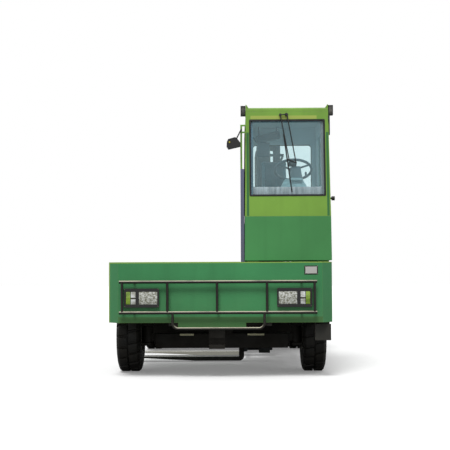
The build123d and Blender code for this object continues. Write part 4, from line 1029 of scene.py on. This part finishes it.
# %% Mirror glass and reflector
MIRROR = Vector((0.125, -2.54, 2.512))
MIRROR_OUTLINE = ((-72, 14), (-58, 45), (18, 66), (38, 52), (74, 4), (74, -36), (-56, -66), (-75, -36))
GLASS_SHARE = 0.00088
GLASS_THICK = 0.003
mesh = bmesh.new()
rim = [mesh.verts.new(MIRROR + Vector((x, 0, z)) * GLASS_SHARE) for x, z in MIRROR_OUTLINE]
walls = bmesh.ops.extrude_face_region(mesh, geom=[mesh.faces.new(rim)])["geom"]
pushed = [item for item in walls if isinstance(item, bmesh.types.BMVert)]
bmesh.ops.translate(mesh, vec=(0, GLASS_THICK, 0), verts=pushed)
finish_piece(mesh, "mirror_glass", "chassis", mirror_silver)
mesh = bmesh.new()
spot = MIRROR + Vector((-0.043, -0.0458, 0.01))
add_rod(mesh, spot, spot + Vector((0, -0.004, 0)), 0.009, 24, 0.006)
finish_piece(mesh, "mirror_reflector", "chassis", yellow_plastic)
print("mirror glass has", len(MIRROR_OUTLINE), "corners")

# %% [markdown]
# ## Seat
#
# The cushion and the back are foam under a sewn cloth. Foam swells where nothing holds it, so a
# slightly smaller block is remeshed and blown up a little by the cloth solver, with its movement
# capped. The sewn channels are pressed in afterwards.

# %% Seat
SEAT_Y = -1.5
SEAT_HALF = 0.2
CUSHION_Z = (1.83, 1.95)
BACK_TOP = 2.49
BACK_LEAN = 0.105
SWELL = 0.022
SWELL_FRAMES = 20
PRESSURE = 4
VOXEL = 0.008
SEAMS = (SEAT_X - SEAT_PANEL, SEAT_X + SEAT_PANEL, SEAT_X - 0.037, SEAT_X + 0.037)
SEAM_WIDTH = 0.006
SEAM_DEPTH = 0.007


def seat_block():
    """The cushion and the leaning back, both a little smaller than the finished seat."""
    mesh = bmesh.new()
    add_box(mesh, (SEAT_X - SEAT_HALF + 0.018, SEAT_Y - 0.225, CUSHION_Z[0] + 0.012),
            (SEAT_X + SEAT_HALF - 0.018, SEAT_Y + 0.225, CUSHION_Z[1] - 0.014), 0.035, 4)
    made = len(mesh.verts)
    add_box(mesh, (SEAT_X - SEAT_HALF + 0.026, SEAT_Y + 0.15, CUSHION_Z[1] - 0.02),
            (SEAT_X + SEAT_HALF - 0.026, SEAT_Y + 0.226, BACK_TOP - 0.018), 0.036, 4)
    for vert in mesh.verts[made:]:
        rise = (vert.co.z - CUSHION_Z[1] + 0.02) / (BACK_TOP - CUSHION_Z[1])
        vert.co.y += BACK_LEAN * rise
        vert.co.x = SEAT_X + (vert.co.x - SEAT_X) * (1 - 0.16 * max(0, rise - 0.55))
    return mesh


def swell(piece, cap):
    """Blow a closed cloth up a little, and hold each point within the cap."""
    cloth = piece.modifiers.new("cloth", "CLOTH")
    cloth.settings.use_pressure = True
    cloth.settings.uniform_pressure_force = PRESSURE
    cloth.settings.effector_weights.gravity = 0
    for step in range(1, SWELL_FRAMES + 1):
        scene.frame_set(step)
    shaped = piece.evaluated_get(bpy.context.evaluated_depsgraph_get()).to_mesh()
    moved = [vert.co.copy() for vert in shaped.vertices]
    piece.modifiers.remove(cloth)
    scene.frame_set(1)
    for vert, place in zip(piece.data.vertices, moved):
        step = place - vert.co
        vert.co += step * min(1, cap / max(step.length, 1e-9))


def sew_channels(mesh):
    """Press the seams into the cushion's top and the back's front."""
    for vert in mesh.verts:
        on_top = vert.normal.z > 0.4 and vert.co.z < CUSHION_Z[1] + 0.06
        on_front = vert.normal.y < -0.4 and vert.co.z > CUSHION_Z[1] + 0.02
        if on_top or on_front:
            share = sum(math.exp(-((vert.co.x - seam) / SEAM_WIDTH) ** 2) for seam in SEAMS)
            vert.co -= vert.normal * SEAM_DEPTH * min(1, share)


mesh = seat_block()
data = bpy.data.meshes.new("seat_foam")
mesh.to_mesh(data)
mesh.free()
seat = bpy.data.objects.new("seat_foam", data)
scene.collection.objects.link(seat)
remesh = seat.modifiers.new("remesh", "REMESH")
remesh.mode = "VOXEL"
remesh.voxel_size = VOXEL
seat.data = bpy.data.meshes.new_from_object(seat.evaluated_get(bpy.context.evaluated_depsgraph_get()))
seat.modifiers.clear()
swell(seat, SWELL)
mesh = bmesh.new()
mesh.from_mesh(seat.data)
bmesh.ops.subdivide_edges(mesh, edges=mesh.edges[:], cuts=1, use_grid_fill=True, smooth=0.4)
bmesh.ops.recalc_face_normals(mesh, faces=mesh.faces)
mesh.normal_update()
sew_channels(mesh)
mesh.to_mesh(seat.data)
mesh.free()
seat.data.materials.append(seat_material)
seat.data.shade_smooth()
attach(seat, "chassis")
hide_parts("seat")
print("seat:", len(seat.data.vertices), "points, size", [round(length, 3) for length in seat.dimensions])

# %% [markdown]
# ## Levers and pedals
#
# Through the windscreen the driver's place shows: levers with round knobs on a console at the
# load side, and two pedals on the floor. A knob is spun from a profile whose ends lie on its
# axis, so that both poles close.

# %% Levers and pedals
LEVERS_Y = (-1.8, -1.72, -1.64, -1.56)
KNOB = ((-0.02, 0.0), (-0.018, 0.01), (-0.008, 0.019), (0.006, 0.021), (0.016, 0.015), (0.021, 0.0))
PEDALS_X = (0.62, 0.98)
PEDAL_TILT = Matrix.Rotation(math.radians(-35), 4, "X")
mesh = bmesh.new()
add_box(mesh, (0.305, -1.86, 1.5), (0.375, -1.5, 1.88), 0.012)
finish_piece(mesh, "lever_console", "chassis", console_plastic)
stems = bmesh.new()
knobs = bmesh.new()
for y in LEVERS_Y:
    add_rod(stems, (0.34, y, 1.86), (0.35, y - 0.02, 2.06), 0.007, 12)
    add_lathe(knobs, KNOB, (0.351, y - 0.021, 2.07), (0.05, -0.1, 1), 20, closed=False)
    add_rod(stems, (0.34, y, 1.875), (0.34, y, 1.892), 0.022, 18, 0.012)
finish_piece(stems, "lever_stems", "chassis", dark_steel)
finish_piece(knobs, "lever_knobs", "chassis", black_plastic)
mesh = bmesh.new()
for x in PEDALS_X:
    add_box(mesh, (x - 0.035, -2.262, 1.56), (x + 0.035, -2.25, 1.68), 0.004, 2, PEDAL_TILT)
    add_rod(mesh, (x, -2.25, 1.61), (x, -2.3, 1.5), 0.008, 12)
finish_piece(mesh, "pedals", "chassis", black_rubber)
print("levers:", len(LEVERS_Y), "pedals:", len(PEDALS_X))

# %% [markdown]
# ## Shelf, roof console and inner mirror
#
# A shelf behind the windscreen runs the width of the cab, and a small dial stands on the dash.
# A console hangs from the roof by two posts, and an arm holds a small mirror ahead of the seat.

# %% Shelf, roof console and inner mirror
CONSOLE_TILT = Matrix.Rotation(math.radians(-14), 4, "Y")
POSTS_X = (0.42, 0.64)
mesh = bmesh.new()
add_box(mesh, (0.3, -2.418, 1.96), (1.11, -2.33, 2.055), 0.018, 3)
finish_piece(mesh, "dash_shelf", "chassis", shelf_plastic)
mesh = bmesh.new()
add_box(mesh, (0.727, -2.2, 2.298), (0.821, -2.14, 2.356), 0.02, 4)
finish_piece(mesh, "dial_hood", "chassis", black_plastic)
mesh = bmesh.new()
add_box(mesh, (0.39, -1.2, 2.71), (0.68, -1.1, 2.8), 0.012, 3, CONSOLE_TILT)
for x in POSTS_X:
    add_rod(mesh, (x, -1.15, 2.76), (x, -1.15, 2.882), 0.008, 12)
finish_piece(mesh, "roof_console", "chassis", console_plastic)
mesh = bmesh.new()
add_box(mesh, (0.39, -1.93, 2.44), (0.53, -1.905, 2.6), 0.012, 4)
add_rod(mesh, (0.4, -1.915, 2.58), (0.31, -1.93, 2.7), 0.007, 12)
add_rod(mesh, (0.318, -1.93, 2.7), (0.29, -1.93, 2.7), 0.02, 18)
finish_piece(mesh, "inner_mirror", "chassis", console_plastic)
print("roof console on", len(POSTS_X), "posts")

# %% [markdown]
# ## Engine cover
#
# A pull handle and two latches on the door side open the engine cover. The handle is a round
# bar on two short stems, each on its own foot.

# %% Engine cover fittings
COVER_X = 1.174
LATCHES_Y = (0.86, 2.3)
HANDLE_Y = (1.85, 2.07)
HANDLE_Z = 1.53
HANDLE_X = 1.19
mesh = bmesh.new()
for y in LATCHES_Y:
    add_box(mesh, (COVER_X, y - 0.02, 1.33), (COVER_X + 0.008, y + 0.02, 1.41), 0.003)
    add_box(mesh, (COVER_X + 0.007, y - 0.009, 1.345), (COVER_X + 0.016, y + 0.009, 1.4), 0.003)
for y in (HANDLE_Y[0] + 0.01, HANDLE_Y[1] - 0.01):
    add_box(mesh, (COVER_X, y - 0.01, HANDLE_Z - 0.03),
            (COVER_X + 0.006, y + 0.01, HANDLE_Z + 0.03), 0.002)
    add_rod(mesh, (COVER_X + 0.002, y, HANDLE_Z), (HANDLE_X, y, HANDLE_Z), 0.006, 12)
add_rod(mesh, (HANDLE_X, HANDLE_Y[0], HANDLE_Z), (HANDLE_X, HANDLE_Y[1], HANDLE_Z), 0.007, 14)
finish_piece(mesh, "hood_latches", "hood", dark_steel)
print("latches:", len(LATCHES_Y), "and one handle")

# %% [markdown]
# ## Step bolts
#
# Four nuts hold the cab's step. They stand in its tread, near its corners.

# %% Step bolts
STEP_BOLTS = [(x, y, 0.412) for x in (1.0, 1.148) for y in (-2.46, -2.3)]
mesh = bmesh.new()
for place in STEP_BOLTS:
    add_nut(mesh, place, (0, 0, 1), 0.008, 0.007)
finish_piece(mesh, "step_bolts", "chassis", dark_steel)
print("step bolts:", len(STEP_BOLTS))
